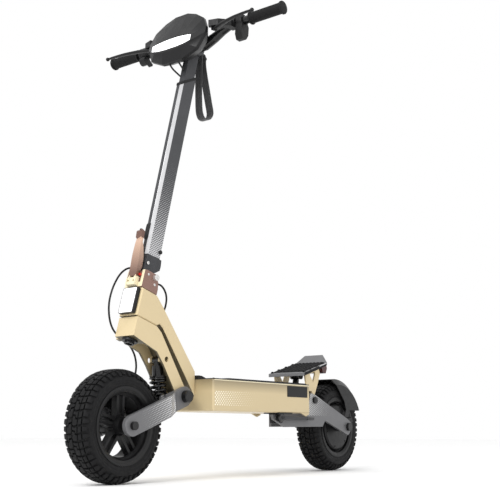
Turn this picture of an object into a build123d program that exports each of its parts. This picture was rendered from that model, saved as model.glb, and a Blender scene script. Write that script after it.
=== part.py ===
"""Electric kick scooter: sprung front and rear arms, folding stem, off-road tyres.

Millimetres, +Z up, +X to the rider's left, -Y forward.  The origin is on the ground under the
centre of the scooter's box.  Most side profiles are drawn as (distance behind the front axle,
height); parts that steer are drawn about the steering axis and the mast about its own axis.
"""

import os
from math import asin, atan2, cos, degrees, radians, sin, sqrt, tan

from build123d import *

os.makedirs("parts", exist_ok=True)

# ------------------------------------------------------------------ driving dimensions
tyre_radius = 133.5
tyre_half_width = 39.8
wheelbase = 944.0
axle_height = tyre_radius

guard_radius = 150.0                 # rear mudguard, about the rear axle
guard_tip_height = 186.0
rear_reach = sqrt(guard_radius**2 - (guard_tip_height - axle_height) ** 2)
front_axle_y = -(wheelbase + rear_reach - tyre_radius) / 2

steer_tilt = 15.55                   # rearward lean of the steering axis, degrees
crown_u, crown_z = 58.4, 391.0       # steering axis at the joint of fork crown and head
mast_tilt = 14.1                     # rearward lean of the mast
head_height = 74.0                   # head block, along the steering axis
neck_half_width = 31.0

front_pivot = (205.0, 207.0)         # swing arm pivots and shock eyes, as (u, z)
front_shock_top = (143.6, 297.3)
front_shock_foot = (150.0, 203.0)
rear_pivot = (575.0, 153.0)
rear_shock_top = (770.0, 287.0)
rear_shock_foot = (752.0, 211.0)

deck_front, deck_rear = 256.0, 702.0
deck_floor, deck_top = 171.5, 254.5
deck_half_width = 92.0
lid_half_width = 93.0
lid_thickness = 2.5
mat_thickness = 2.5
wall = 3.0

plate_inner, plate_outer = 68.0, 76.0   # rear arm side plates, from the centre line

pin_radius = 5.0
axle_radius = 6.0
running_clearance = 0.05
open_pivot_clearance = 1.3           # the coupled end of each shock absorber

bar_u = 263.6                        # handlebar
bar_centre_z, bar_grip_z = 1177.6, 1211.2
bar_radius, bar_end_radius = 15.9, 11.1
bar_half_width = 311.0
grip_radius, grip_inner_x, grip_outer_x = 15.25, 206.0, 313.3
hose_radius = 2.5


# ------------------------------------------------------------------ planes and helpers
def side(x=0.0):
    """Plane facing +X at x: (distance behind the front axle, height)."""
    return Plane(origin=(x, front_axle_y, 0), x_dir=(0, 1, 0), z_dir=(1, 0, 0))


def level(z):
    """Horizontal plane at height z: (X, distance behind the front axle)."""
    return Plane(origin=(0, front_axle_y, z), x_dir=(1, 0, 0), z_dir=(0, 0, 1))


def tilted(u, z, tilt, height=0.0):
    """Plane across an axis that leans back by tilt: (X, rearward), height along the axis."""
    lean = radians(tilt)
    base = Plane(origin=(0, front_axle_y + u, z), x_dir=(1, 0, 0), z_dir=(0, sin(lean), cos(lean)))
    return base.offset(height)


def tilted_side(u, z, tilt, x=0.0):
    """Plane facing +X beside a leaning axis: (rearward of the axis, along the axis)."""
    lean = radians(tilt)
    return Plane(origin=(x, front_axle_y + u, z), x_dir=(0, cos(lean), -sin(lean)), z_dir=(1, 0, 0))


def steer(height=0.0):
    return tilted(crown_u, crown_z, steer_tilt, height)


def steer_side(x=0.0):
    return tilted_side(crown_u, crown_z, steer_tilt, x)


def steer_front(t):
    """Plane facing forward, t behind the steering axis: (X, along the axis)."""
    lean = radians(steer_tilt)
    rearward = Vector(0, cos(lean), -sin(lean))
    return Plane(origin=steer().origin + rearward * t, x_dir=(1, 0, 0), z_dir=rearward * -1)


hinge_height = 117.0
mast_u = crown_u + hinge_height * sin(radians(steer_tilt))
mast_z = crown_z + hinge_height * cos(radians(steer_tilt))


def mast(height=0.0):
    return tilted(mast_u, mast_z, mast_tilt, height)


def mast_side(x=0.0):
    return tilted_side(mast_u, mast_z, mast_tilt, x)


def across(x, u, z):
    """Plane facing +X whose origin is the point (x, u, z)."""
    return Plane(origin=(x, front_axle_y + u, z), x_dir=(0, 1, 0), z_dir=(1, 0, 0))


def spin(u):
    """Plane through a wheel's axle for sections to revolve: (X, radius)."""
    return Plane(origin=(0, front_axle_y + u, axle_height), x_dir=(1, 0, 0), z_dir=(0, -1, 0))


def axle_line(u):
    return Axis((0, front_axle_y + u, axle_height), (1, 0, 0))


def scaled(points, factor):
    """Outline drawn larger or smaller about its origin."""
    return [(x * factor, y * factor) for x, y in points]


def mirrored(points):
    """Points with their mirror images across X = 0, in order round the outline."""
    return list(points) + [(-x, y) for x, y in reversed(points)]


def place(x, u, z):
    return Vector(x, front_axle_y + u, z)


def hose(points, radius=hose_radius):
    """Tube along straight runs with arcs as large as its runs allow; prints the arc radii."""
    route = [place(*point) for point in points]
    bends = []
    for before, corner, after in zip(route, route[1:], route[2:]):
        turn = radians((corner - before).get_angle(after - corner))
        run = min((corner - before).length, (after - corner).length)
        bends.append(0.45 * run / tan(turn / 2))
    print("hose arc radii:", [round(bend) for bend in bends])
    with BuildPart() as tube:
        with BuildLine():
            path = FilletPolyline(*route, radius=bends)
        with BuildSketch(Plane(origin=path @ 0, z_dir=path % 0)):
            Circle(radius)
        sweep()
    return tube


def shock_plane(foot, top):
    """Plane across a shock absorber at its upper eye, facing up along it, and its length."""
    lean = degrees(atan2(top[0] - foot[0], top[1] - foot[1]))
    length = sqrt((top[0] - foot[0]) ** 2 + (top[1] - foot[1]) ** 2)
    return lean, length


finished = {}


# ------------------------------------------------------------------ neck and head
bore_radius = 18.0
bearing_radius, bearing_height = 23.0, 10.0
steerer_radius = 15.0
with BuildPart() as neck:
    with BuildSketch(side()):
        with BuildLine():
            Polyline(
                (34.4, 398.8), (54.1, 469.0), (107.1, 454.2), (130.6, 427.7),
                (deck_front, 272.5), (deck_front, 209.0), (132.0, 373.0),
                (119.9, 383.3), (106.8, 378.6), close=True,
            )
        make_face()
    extrude(amount=neck_half_width, both=True)
    for cheek in (neck.faces().sort_by(Axis.X)[0], neck.faces().sort_by(Axis.X)[-1]):
        chamfer(cheek.edges(), 2.5)
    with BuildSketch(steer(-10)):
        Circle(bore_radius)
    extrude(amount=head_height + 20, mode=Mode.SUBTRACT)
    for height in (0.0, head_height - bearing_height):
        with BuildSketch(steer(height - 1)):
            Circle(bearing_radius)
        extrude(amount=bearing_height + 1, mode=Mode.SUBTRACT)
finished["neck"] = neck

with BuildPart() as headset_bearings:
    for height in (2.0, head_height - bearing_height):
        with BuildSketch(steer(height)):
            Circle(bearing_radius)
            Circle(steerer_radius + running_clearance, mode=Mode.SUBTRACT)
        extrude(amount=bearing_height - 2)
finished["headset_bearings"] = headset_bearings

lamp_bottom, lamp_top = 4.5, 71.0
with BuildPart() as headlamp_housing:
    with BuildSketch(steer(lamp_bottom)):
        with Locations((0, -30.25)):
            Rectangle(50, 10)
    extrude(amount=lamp_top - lamp_bottom)
    chamfer(headlamp_housing.faces().sort_by(Axis.Y)[0].edges(), 2)
finished["headlamp_housing"] = headlamp_housing

with BuildPart() as headlamp_lens:
    with BuildSketch(steer(lamp_bottom + 3)):
        with Locations((0, -36.05)):
            RectangleRounded(43, 1.6, 0.6)
    extrude(amount=lamp_top - lamp_bottom - 6)
finished["headlamp_lens"] = headlamp_lens

# ------------------------------------------------------------------ deck
shell_top = deck_top - lid_thickness
with BuildPart() as deck_shell:
    with BuildSketch(level(deck_floor)):
        with Locations((0, (deck_front + deck_rear) / 2)):
            Rectangle(2 * deck_half_width, deck_rear - deck_front)
    extrude(amount=shell_top - deck_floor)
    fillet(deck_shell.edges().filter_by(Axis.Z), 5)
    chamfer(deck_shell.faces().sort_by(Axis.Z)[0].edges(), 2.5)
    offset(amount=-wall, openings=deck_shell.faces().sort_by(Axis.Z)[-1])
    for x in (-deck_half_width + 1.5, deck_half_width - 6.5):
        with BuildSketch(side(x)):
            with BuildLine():
                Polyline(
                    (655, deck_floor + 1), (700, deck_floor + 1), (700, deck_floor - 3),
                    (683, deck_floor - 9), close=True,
                )
            make_face()
        extrude(amount=5)
finished["deck_shell"] = deck_shell

with BuildPart() as deck_lid:
    with BuildSketch(level(shell_top)):
        with Locations((0, (deck_front + deck_rear) / 2)):
            RectangleRounded(2 * lid_half_width, deck_rear - deck_front, 6)
    extrude(amount=lid_thickness)
    chamfer(deck_lid.faces().sort_by(Axis.Z)[-1].edges(), 1)
finished["deck_lid"] = deck_lid

mat_front, mat_rear = 322.0, 694.0
rib_pitch, rib_count = 9.0, 19
with BuildPart() as deck_mat:
    with BuildSketch(level(deck_top)):
        with Locations((0, (mat_front + mat_rear) / 2)):
            RectangleRounded(178, mat_rear - mat_front, 8)
    extrude(amount=mat_thickness)
    with BuildSketch(level(deck_top + mat_thickness - 1)):
        with Locations((0, (mat_front + mat_rear) / 2)):
            with GridLocations(rib_pitch, 1, rib_count - 1, 1):
                Rectangle(3, mat_rear - mat_front - 30)
    extrude(amount=1, mode=Mode.SUBTRACT)
finished["deck_mat"] = deck_mat

with BuildPart() as charge_port_cover:
    with BuildSketch(side()):
        with BuildLine():
            Polyline(
                (deck_front + 1, deck_top), (deck_front + 1, 263), (272, 262), (285, 258),
                (292, deck_top), close=True,
            )
        make_face()
    extrude(amount=40, both=True)
    fillet(charge_port_cover.edges().filter_by(Axis.X).sort_by(Axis.Z)[-3:], 1.5)
finished["charge_port_cover"] = charge_port_cover

with BuildPart() as battery_pack:
    with BuildSketch(level(deck_floor + wall)):
        with Locations((0, 420)):
            RectangleRounded(164, 270, 6)
    extrude(amount=58)
finished["battery_pack"] = battery_pack

with BuildPart() as motor_controller:
    with BuildSketch(level(deck_floor + wall)):
        with Locations((0, 625)):
            Rectangle(100, 110)
    extrude(amount=34)
    with BuildSketch(level(deck_floor + wall + 24)):
        with Locations((0, 625)):
            with GridLocations(10, 1, 9, 1):
                Rectangle(5, 110)
    extrude(amount=10, mode=Mode.SUBTRACT)
finished["motor_controller"] = motor_controller

# ------------------------------------------------------------------ tail: footrest and lamp
bracket_inner, bracket_outer = 52.0, 58.0
with BuildPart() as footrest_brackets:
    for x in (-bracket_outer, bracket_inner):
        with BuildSketch(side(x)):
            with BuildLine():
                Polyline(
                    (deck_rear, 190), (deck_rear, 246), (738, 250), (737, 262), (731, 286.4),
                    (807, 307.7), (813, 293), (801, 264), (782, 228), (772, 228), (764, 239),
                    (745, 238), (722, 205), (712, 190), close=True,
                )
            make_face()
        extrude(amount=bracket_outer - bracket_inner)
    with BuildSketch(side(-bracket_outer)):
        with BuildLine():
            Polyline((757, 290), (787, 298), (785, 286), (775, 266), (760, 284), close=True)
        make_face()
    extrude(amount=2 * bracket_outer, mode=Mode.SUBTRACT)
finished["footrest_brackets"] = footrest_brackets

rest_front, rest_rear = (715.0, 292.0), (857.0, 331.5)
rest_thickness = 10.0
with BuildPart() as footrest_platform:
    with BuildSketch(side()):
        with BuildLine():
            Polyline(
                rest_front, (852, 330.1), (869, 356), (873, 355), rest_rear, (850, 320),
                (rest_front[0], rest_front[1] - rest_thickness), close=True,
            )
        make_face()
    extrude(amount=66, both=True)
    with BuildSketch(level(260)):
        with BuildLine():
            Polyline(
                *mirrored([(66, 700), (66, 735), (60, 852), (20, 878)]), close=True,
            )
        make_face()
    extrude(amount=120, mode=Mode.INTERSECT)
    for x in (-17, 11):
        with BuildSketch(side(x)):
            with BuildLine():
                Polyline((757, 300), (759, 280), (764, 276), (776, 276), (781, 280), (785, 307), close=True)
            make_face()
        extrude(amount=6)
    with BuildSketch(across(-17, *rear_shock_top)):
        Circle(pin_radius)
    extrude(amount=34)
finished["footrest_platform"] = footrest_platform

with BuildPart() as tail_light:
    with BuildSketch(side()):
        with BuildLine():
            Polyline((838, 316), (850, 319.4), (866, 324), (870, 312), (862, 297), (846, 298), close=True)
        make_face()
    extrude(amount=48, both=True)
    fillet(tail_light.edges().filter_by(Axis.X).sort_by(Axis.Y)[-2:], 3)
finished["tail_light"] = tail_light

# ------------------------------------------------------------------ rear arm mounting under the deck
stand_pivot = place(90, 560, 157)
stand_tilt = 15.0
stand_axis = Vector(cos(radians(stand_tilt)), 0, sin(radians(stand_tilt)))
with BuildPart() as rear_pivot_block:
    with BuildSketch(level(deck_floor - 3)):
        with Locations((66, 578)):
            Rectangle(52, 68)
    extrude(amount=3)
    with BuildSketch(side(46)):
        with BuildLine():
            Polyline(
                (560, deck_floor - 1), (608, deck_floor - 1), (592, 143), (566, 143), close=True,
            )
        make_face()
    extrude(amount=14)
    with BuildSketch(side(50)):
        with Locations(rear_pivot):
            Circle(8)
    extrude(amount=29)
    with BuildSketch(side(plate_outer + 0.4)):
        with Locations(rear_pivot):
            Circle(10)
    extrude(amount=2.2)
    with BuildSketch(side(79)):
        with BuildLine():
            Polyline(
                (548, deck_floor - 1), (584, deck_floor - 1), (570, 148), (552, 148), close=True,
            )
        make_face()
    extrude(amount=4)
    with BuildSketch(Plane(origin=stand_pivot, z_dir=stand_axis).offset(-9)):
        Circle(pin_radius)
    extrude(amount=14)
finished["rear_pivot_block"] = rear_pivot_block

stand_length = 158.0
with BuildPart() as kickstand:
    with BuildSketch(Plane(origin=stand_pivot, z_dir=stand_axis).offset(-4)):
        Circle(10)
        Circle(pin_radius + running_clearance, mode=Mode.SUBTRACT)
    extrude(amount=8)
    with BuildSketch(Plane(origin=stand_pivot + Vector(0, 9, 0), z_dir=(0, 1, 0))):
        Circle(5.5)
    extrude(amount=stand_length - 40)
    with BuildSketch(Plane(origin=stand_pivot + Vector(0, stand_length - 34, -1), z_dir=(0, 1, 0))):
        RectangleRounded(9, 13, 3)
    extrude(amount=34)
finished["kickstand"] = kickstand

# ------------------------------------------------------------------ fork, steerer and fold bracket
crown_height = 50.0
leg_outer, leg_inner = 31.8, 25.8
access_hole_radius = 7.0
clip_at = place(-35.4, 46, 349.15)   # brake hose clip on the right leg
clip_run = Vector(0, 13, -5.5)
with BuildPart() as fork:
    with BuildSketch(side()):
        with BuildLine():
            Polyline(
                (24.8, 348.4), (37.9, 395.7), (106.3, 376.6), (122.8, 362.7), (221.4, 218.5),
                (212, 190), (190.5, 197.2), (133.0, 283.6), (108.4, 314.2), (62.8, 333.1),
                close=True,
            )
        make_face()
        with Locations(front_pivot):
            Circle(20)
    extrude(amount=leg_outer, both=True)
    with BuildSketch(side()):
        with BuildLine():
            Polyline(
                (58, 325), (82, 343), (113, 352), (119, 356), (219, 210), (215, 180), (180, 180),
                (120, 275), (100, 305), close=True,
            )
        make_face()
    extrude(amount=leg_inner, both=True, mode=Mode.SUBTRACT)
    with BuildSketch(side(-leg_outer)):
        with Locations(front_shock_top):
            Circle(access_hole_radius)
        with Locations(front_pivot):
            Circle(pin_radius + 3)
    extrude(amount=2 * leg_outer, mode=Mode.SUBTRACT)
    for x in (-17, 11.5):
        with BuildSketch(side(x)):
            with BuildLine():
                Polyline(
                    (134, 300), (138, 306), (158, 306), (168, 290), (160, 283), (143, 288), (134, 292),
                    close=True,
                )
            make_face()
        extrude(amount=5.5)
    with BuildSketch(across(-17, *front_shock_top)):
        Circle(pin_radius)
    extrude(amount=34)
    with BuildSketch(steer(-70)):
        Circle(steerer_radius)
    extrude(amount=90, mode=Mode.SUBTRACT)
    with BuildSketch(steer(-70)):
        Circle(19)
    extrude(amount=17, mode=Mode.SUBTRACT)
    with BuildSketch(side(-40)):
        with BuildLine():
            Polyline((36, 343), (44, 362), (56, 358), (48, 339), close=True)
        make_face()
    extrude(amount=9)
    with BuildSketch(Plane(origin=clip_at, z_dir=clip_run).offset(-16)):
        Circle(hose_radius + running_clearance)
    extrude(amount=32, mode=Mode.SUBTRACT)
finished["fork"] = fork

with BuildPart() as steerer:
    with BuildSketch(steer(-64)):
        Circle(12.5)
        Circle(9, mode=Mode.SUBTRACT)
    extrude(amount=11)
    with BuildSketch(steer(-58)):
        Circle(19)
        Circle(9, mode=Mode.SUBTRACT)
    extrude(amount=5)
    with BuildSketch(steer(-54)):
        Circle(steerer_radius)
        Circle(11, mode=Mode.SUBTRACT)
    extrude(amount=54 + 92)
finished["steerer"] = steerer

catch_at = (17.0, 107.5)             # (X, height) on the front wall of the fold bracket
catch_radius = 3.5
hinge_pin_at = (10.0, 114.0)         # fold hinge, about the steering axis
bracket_half_width = 29.0
cheek_inner = 19.5
base_bottom, base_top = 75.0, 92.0
with BuildPart() as hinge_bracket:
    with BuildSketch(steer_side()):
        with BuildLine():
            Polyline((-29, base_bottom), (28, base_bottom), (28, base_top), (-29, base_top), close=True)
        make_face()
    extrude(amount=bracket_half_width, both=True)
    with BuildSketch(steer(base_bottom - 1)):
        Circle(steerer_radius)
    extrude(amount=base_top - base_bottom + 2, mode=Mode.SUBTRACT)
    for x in (-bracket_half_width, cheek_inner):
        with BuildSketch(steer_side(x)):
            with BuildLine():
                Polyline(
                    (-29, 88), (-29, 121), (-20, 123), (6, 123), (10, 114), (20, 112), (25, 106), (28, 88),
                    close=True,
                )
            make_face()
            with Locations(hinge_pin_at):
                Circle(10)
        extrude(amount=bracket_half_width - cheek_inner)
    with BuildSketch(steer_side(-cheek_inner - 1)):
        with BuildLine():
            Polyline((-29, 88), (-29, 118), (-24, 118), (-24, 88), close=True)
        make_face()
    extrude(amount=2 * cheek_inner + 2)
    with BuildSketch(steer_side(-bracket_half_width)):
        with Locations(hinge_pin_at):
            Circle(pin_radius)
    extrude(amount=2 * bracket_half_width, mode=Mode.SUBTRACT)
    with BuildSketch(steer_front(-30)):
        with Locations(catch_at):
            Circle(catch_radius + running_clearance)
    extrude(amount=-8, mode=Mode.SUBTRACT)
finished["hinge_bracket"] = hinge_bracket

with BuildPart() as hinge_pin:
    with BuildSketch(steer_side(-34)):
        with Locations(hinge_pin_at):
            Circle(pin_radius)
    extrude(amount=68)
    for x in (-35, bracket_half_width):
        with BuildSketch(steer_side(x)):
            with Locations(hinge_pin_at):
                Circle(8)
        extrude(amount=6)
finished["hinge_pin"] = hinge_pin

latch_pivot = (-38.0, 94.0)
latch_lug_half_width = 6.0
with BuildPart() as latch_base:
    with BuildSketch(steer_side()):
        with BuildLine():
            Polyline((-29, 76), (-42, 78), (-43, 86), (-29, 87), close=True)
        make_face()
    extrude(amount=13, both=True)
    with BuildSketch(steer_side()):
        with BuildLine():
            Polyline((-29, 86), (-42, 85), (-42, 96), (-38, 99.5), (-29, 100), close=True)
        make_face()
    extrude(amount=latch_lug_half_width, both=True)
    with BuildSketch(steer_side(-12.5)):
        with Locations(latch_pivot):
            Circle(2.5)
    extrude(amount=25)
finished["latch_base"] = latch_base

with BuildPart() as fold_lever:
    with BuildSketch(steer_side()):
        with BuildLine():
            Polyline(
                (-42, 101), (-42.5, 133), (-45, 160), (-46, 188), (-45, 204), (-41, 204), (-42, 188),
                (-41, 160), (-37.5, 133), (-34, 101), close=True,
            )
        make_face()
    extrude(amount=13, both=True)
    for x in (-13, 10.5):
        with BuildSketch(steer_side(x)):
            with BuildLine():
                Polyline(
                    (-40, 101), (-34, 101), (-33, 110), (-29, 120), (-26.5, 131), (-29, 155),
                    (-36, 182), (-43, 197), (-43, 150), close=True,
                )
            make_face()
        extrude(amount=2.5)
    with BuildSketch(steer_front(0)):
        with BuildLine():
            Polyline(*mirrored([(13, 80), (13, 150), (10, 204)]), close=True)
        make_face()
    extrude(amount=80, mode=Mode.INTERSECT)
    for x in (-13, latch_lug_half_width + 0.4):
        with BuildSketch(steer_side(x)):
            with BuildLine():
                Polyline((-42.5, 94), (-42.5, 104), (-33.5, 104), (-33.5, 94), close=True)
            make_face()
            with Locations(latch_pivot):
                Circle(4.5)
                Circle(2.5 + running_clearance, mode=Mode.SUBTRACT)
        extrude(amount=13 - latch_lug_half_width - 0.4)
    with BuildSketch(steer_side()):
        with BuildLine():
            Polyline(
                (-50, 205), (-51.5, 221), (-48, 225.5), (-41, 223), (-40, 205), (-43, 201), close=True,
            )
        make_face()
    extrude(amount=9.5, both=True)
    with BuildSketch(steer(222)):
        with Locations((0, -46)):
            RectangleRounded(10, 5, 2)
    extrude(amount=5)
finished["fold_lever"] = fold_lever

with BuildPart() as fold_catch:
    with BuildSketch(steer_front(-34)):
        with Locations(catch_at):
            Circle(catch_radius)
    extrude(amount=-8.5)
finished["fold_catch"] = fold_catch

# ------------------------------------------------------------------ mast
cowl_u, cowl_z, cowl_lean = 196.0, 1183.0, 14.0


def cowl_plane(depth):
    """Plane of the cowl's rim, facing forward and up; depth is towards the front."""
    lean = radians(cowl_lean)
    base = Plane(origin=place(0, cowl_u, cowl_z), x_dir=(1, 0, 0), z_dir=(0, -cos(lean), sin(lean)))
    return base.offset(depth)


nose_depth, rim_depth, back_depth = 17.0, 9.0, 38.0
with BuildPart() as stem_collar:
    with BuildSketch(steer_side()):
        with BuildLine():
            Polyline(
                (-21, 126), (26, 126), (26, 104), (20, 98), (12, 94.5), (-13, 94.5), (-19, 104),
                (-21, 114), close=True,
            )
        make_face()
        with Locations(hinge_pin_at):
            Circle(pin_radius + running_clearance, mode=Mode.SUBTRACT)
    extrude(amount=18.5, both=True)
    with BuildSketch(steer_side()):
        with BuildLine():
            Polyline(
                (-23.5, 124.8), (8, 124.8), (26, 141), (27, 152), (24.5, 169), (-22.5, 169), close=True,
            )
        make_face()
    extrude(amount=23, both=True)
    with BuildSketch(steer(120)):
        with BuildLine():
            Polyline(
                *mirrored([(7, -25), (15, -19), (23, 8), (23, 30)]), close=True,
            )
        make_face()
        with Locations((0, 2)):
            Rectangle(37, 60)
    extrude(amount=60, mode=Mode.INTERSECT)
    with BuildSketch(steer_side()):
        with BuildLine():
            Polyline(
                (-21, 126), (26, 126), (26, 104), (20, 98), (12, 94.5), (-13, 94.5), (-19, 104),
                (-21, 114), close=True,
            )
        make_face()
        with Locations(hinge_pin_at):
            Circle(pin_radius + running_clearance, mode=Mode.SUBTRACT)
    extrude(amount=18.5, both=True)
    with BuildSketch(mast(45)):
        with Locations((0, 2)):
            Rectangle(15, 30)
    extrude(amount=50)
finished["stem_collar"] = stem_collar

mast_section = mirrored([(5.5, -21), (13, -14), (21, 20), (16, 25)])
tube_bottom = 53.0
tube_top_front, tube_top_rear = 566.0, 612.0
tube_wall = 3.5
with BuildPart() as stem_tube:
    with BuildSketch(mast(tube_bottom)):
        with BuildLine():
            Polyline(*mast_section, close=True)
        make_face()
        offset(amount=-tube_wall, mode=Mode.SUBTRACT)
    extrude(amount=570)
    with BuildSketch(mast_side()):
        with BuildLine():
            Polyline(
                (-23, tube_bottom), (27, tube_bottom), (27, tube_top_rear), (-23, tube_top_front),
                close=True,
            )
        make_face()
    extrude(amount=30, both=True, mode=Mode.INTERSECT)
finished["stem_tube"] = stem_tube

peg_base = Plane(origin=place(6, 272, 1157), x_dir=(1, 0, 0), z_dir=(0, 1, 0.12))
peg_radius = 3.5
head_section = mirrored([(4, -17), (9.8, -11.5), (16.8, 18), (13, 21)])
with BuildPart() as stem_head:
    with BuildSketch(mast(500)):
        with BuildLine():
            Polyline(*head_section, close=True)
        make_face()
    extrude(amount=185)
    with BuildSketch(across(-24, bar_u, bar_centre_z)):
        Circle(24)
    extrude(amount=48)
    with BuildSketch(cowl_plane(-back_depth)):
        with Locations((0, 15)):
            Rectangle(30, 36)
    extrude(amount=-20)
    with BuildSketch(across(-30, bar_u, bar_centre_z)):
        Circle(bar_radius)
    extrude(amount=60, mode=Mode.SUBTRACT)
    with BuildSketch(peg_base):
        Circle(peg_radius)
    extrude(amount=37)
    with BuildSketch(peg_base.offset(35)):
        Circle(peg_radius + 2)
    extrude(amount=4)
finished["stem_head"] = stem_head

bar_stations = [
    (49.0, bar_centre_z, bar_radius), (84.0, 1190.5, 14.6), (112.0, 1202.5, 12.6),
    (140.0, bar_grip_z, bar_end_radius),
]
with BuildPart() as handlebar:
    with BuildSketch(across(-bar_stations[0][0], bar_u, bar_centre_z)):
        Circle(bar_radius)
    extrude(amount=2 * bar_stations[0][0])
    for hand in (1, -1):
        for x, z, radius in bar_stations:
            with BuildSketch(across(hand * x, bar_u, z)):
                Circle(radius)
        loft(ruled=True)
        with BuildSketch(across(hand * bar_stations[-1][0], bar_u, bar_grip_z)):
            Circle(bar_end_radius)
        extrude(amount=hand * (bar_half_width - bar_stations[-1][0]))
finished["handlebar"] = handlebar

with BuildPart() as grips:
    for hand in (1, -1):
        with BuildSketch(across(hand * grip_inner_x, bar_u, bar_grip_z)):
            Circle(grip_radius)
        extrude(amount=hand * (grip_outer_x - grip_inner_x))
        for x, length in ((grip_inner_x, 4), (grip_outer_x - 6, 6)):
            with BuildSketch(across(hand * x, bar_u, bar_grip_z)):
                Circle(grip_radius + 2.8)
            extrude(amount=hand * length)
        with BuildSketch(across(hand * grip_inner_x, bar_u, bar_grip_z)):
            Circle(bar_end_radius)
        extrude(amount=hand * (bar_half_width - grip_inner_x), mode=Mode.SUBTRACT)
finished["grips"] = grips

# ------------------------------------------------------------------ cowl and display
cowl_rim = mirrored([(22, 80), (56, 67), (88, 44), (103, 12), (103, -8), (82, -52), (35, -75)])
cowl_nose = mirrored([(12, -6), (36, -8), (60, -12), (73, -16), (73, -37), (58, -43), (28, -48)])
cowl_back = mirrored([(22, 70), (48, 58), (68, 36), (80, 10), (80, -8), (66, -36), (34, -52)])
cowl_wall = 3.0
with BuildPart() as cowl:
    for shrink, mode in ((0.0, Mode.ADD), (cowl_wall, Mode.SUBTRACT)):
        for outline, depth in ((cowl_nose, nose_depth - 0.8 * shrink), (cowl_rim, 0)):
            with BuildSketch(cowl_plane(depth)):
                with BuildLine():
                    Polyline(*scaled(outline, 1 - shrink / 60), close=True)
                make_face()
        loft(ruled=True, mode=mode)
        with BuildSketch(cowl_plane(-rim_depth)):
            with BuildLine():
                Polyline(*scaled(cowl_rim, 1 - shrink / 60), close=True)
            make_face()
        extrude(amount=rim_depth, mode=mode)
        for outline, depth in ((cowl_rim, -rim_depth), (cowl_back, -back_depth + shrink)):
            with BuildSketch(cowl_plane(depth)):
                with BuildLine():
                    Polyline(*scaled(outline, 1 - shrink / 60), close=True)
                make_face()
        loft(ruled=True, mode=mode)
finished["cowl"] = cowl

strip_outline = mirrored([(20, -11), (45, -13.5), (69, -17.5), (69, -34.5), (45, -39.5), (20, -41.5)])
with BuildPart() as cowl_light:
    with BuildSketch(cowl_plane(nose_depth)):
        with BuildLine():
            Polyline(*strip_outline, close=True)
        make_face()
    extrude(amount=1.2)
finished["cowl_light"] = cowl_light

with BuildPart() as display:
    with BuildSketch(cowl_plane(-back_depth)):
        with Locations((0, 50)):
            RectangleRounded(84, 30, 6)
    extrude(amount=-14)
    fillet(display.faces().sort_by(Axis.Y)[-1].edges(), 2)
finished["display"] = display

# ------------------------------------------------------------------ hand controls
lever_pivot = (120.0, 219.0)         # (X, u) of the brake lever pins
perch_bottom, perch_top = 1194.4, 1212.0
with BuildPart() as lever_perches:
    for hand in (1, -1):
        with BuildSketch(across(hand * 140, bar_u, bar_grip_z)):
            Circle(bar_end_radius + 5)
        extrude(amount=hand * 20)
        with BuildSketch(level(perch_bottom)):
            with BuildLine():
                Polyline(
                    (hand * 142, 262), (hand * 160, 262), (hand * 158, 238), (hand * 134, 211),
                    (hand * 107, 203), (hand * 102, 212), (hand * 112, 226), (hand * 140, 246), close=True,
                )
            make_face()
        extrude(amount=perch_top - perch_bottom)
        with BuildSketch(across(hand * 138, bar_u, bar_grip_z)):
            Circle(bar_end_radius)
        extrude(amount=hand * 24, mode=Mode.SUBTRACT)
        with BuildSketch(level(1182.5)):
            with Locations((hand * lever_pivot[0], lever_pivot[1])):
                Circle(3.5)
        extrude(amount=perch_bottom - 1182.5)
finished["lever_perches"] = lever_perches

lever_bottom, lever_top = 1185.0, 1194.0
lever_tip = (264.0, 190.0)
for name, hand in (("brake_lever_left", 1), ("brake_lever_right", -1)):
    with BuildPart() as brake_lever:
        with BuildSketch(level(lever_bottom)):
            with BuildLine():
                Polyline(
                    *[
                        (hand * x, u)
                        for x, u in (
                            (110, 222), (118, 229), (128, 226), (150, 214), (205, 199), (262, 194),
                            (262, 186), (200, 188), (150, 199), (122, 208), (108, 212),
                        )
                    ],
                    close=True,
                )
            make_face()
            with Locations((hand * lever_pivot[0], lever_pivot[1])):
                Circle(3.5 + running_clearance, mode=Mode.SUBTRACT)
        extrude(amount=lever_top - lever_bottom)
        with BuildSketch(across(hand * (lever_tip[0] - 6), lever_tip[1], (lever_bottom + lever_top) / 2)):
            Circle(5.6)
        extrude(amount=hand * 11)
    finished[name] = brake_lever

with BuildPart() as switch_pod:
    with BuildSketch(across(166, bar_u, bar_grip_z)):
        Circle(bar_end_radius + 5)
    extrude(amount=18)
    with BuildSketch(side(163)):
        with BuildLine():
            Polyline(
                (252, 1206), (276, 1206), (282, 1196), (280, 1172), (270, 1157), (254, 1157), (248, 1172),
                close=True,
            )
        make_face()
    extrude(amount=22)
    fillet(switch_pod.edges().filter_by(Axis.X).group_by(Axis.Z)[0], 5)
    with BuildSketch(across(160, bar_u, bar_grip_z)):
        Circle(bar_end_radius)
    extrude(amount=30, mode=Mode.SUBTRACT)
    with BuildSketch(Plane(origin=place(174, 290, 1181), x_dir=(1, 0, 0), z_dir=(0, -1, 0))):
        Circle(5.6)
    extrude(amount=16, mode=Mode.SUBTRACT)
finished["switch_pod"] = switch_pod

with BuildPart() as mode_button:
    with BuildSketch(Plane(origin=place(174, 286, 1181), x_dir=(1, 0, 0), z_dir=(0, -1, 0))):
        Circle(5.5)
    extrude(amount=9)
finished["mode_button"] = mode_button

with BuildPart() as throttle_pod:
    with BuildSketch(across(-188, bar_u, bar_grip_z)):
        Circle(bar_end_radius + 6)
    extrude(amount=20)
    with BuildSketch(across(-188, 256, 1184)):
        Circle(13)
    extrude(amount=20)
    with BuildSketch(across(-190, bar_u, bar_grip_z)):
        Circle(bar_end_radius)
    extrude(amount=30, mode=Mode.SUBTRACT)
finished["throttle_pod"] = throttle_pod

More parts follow.
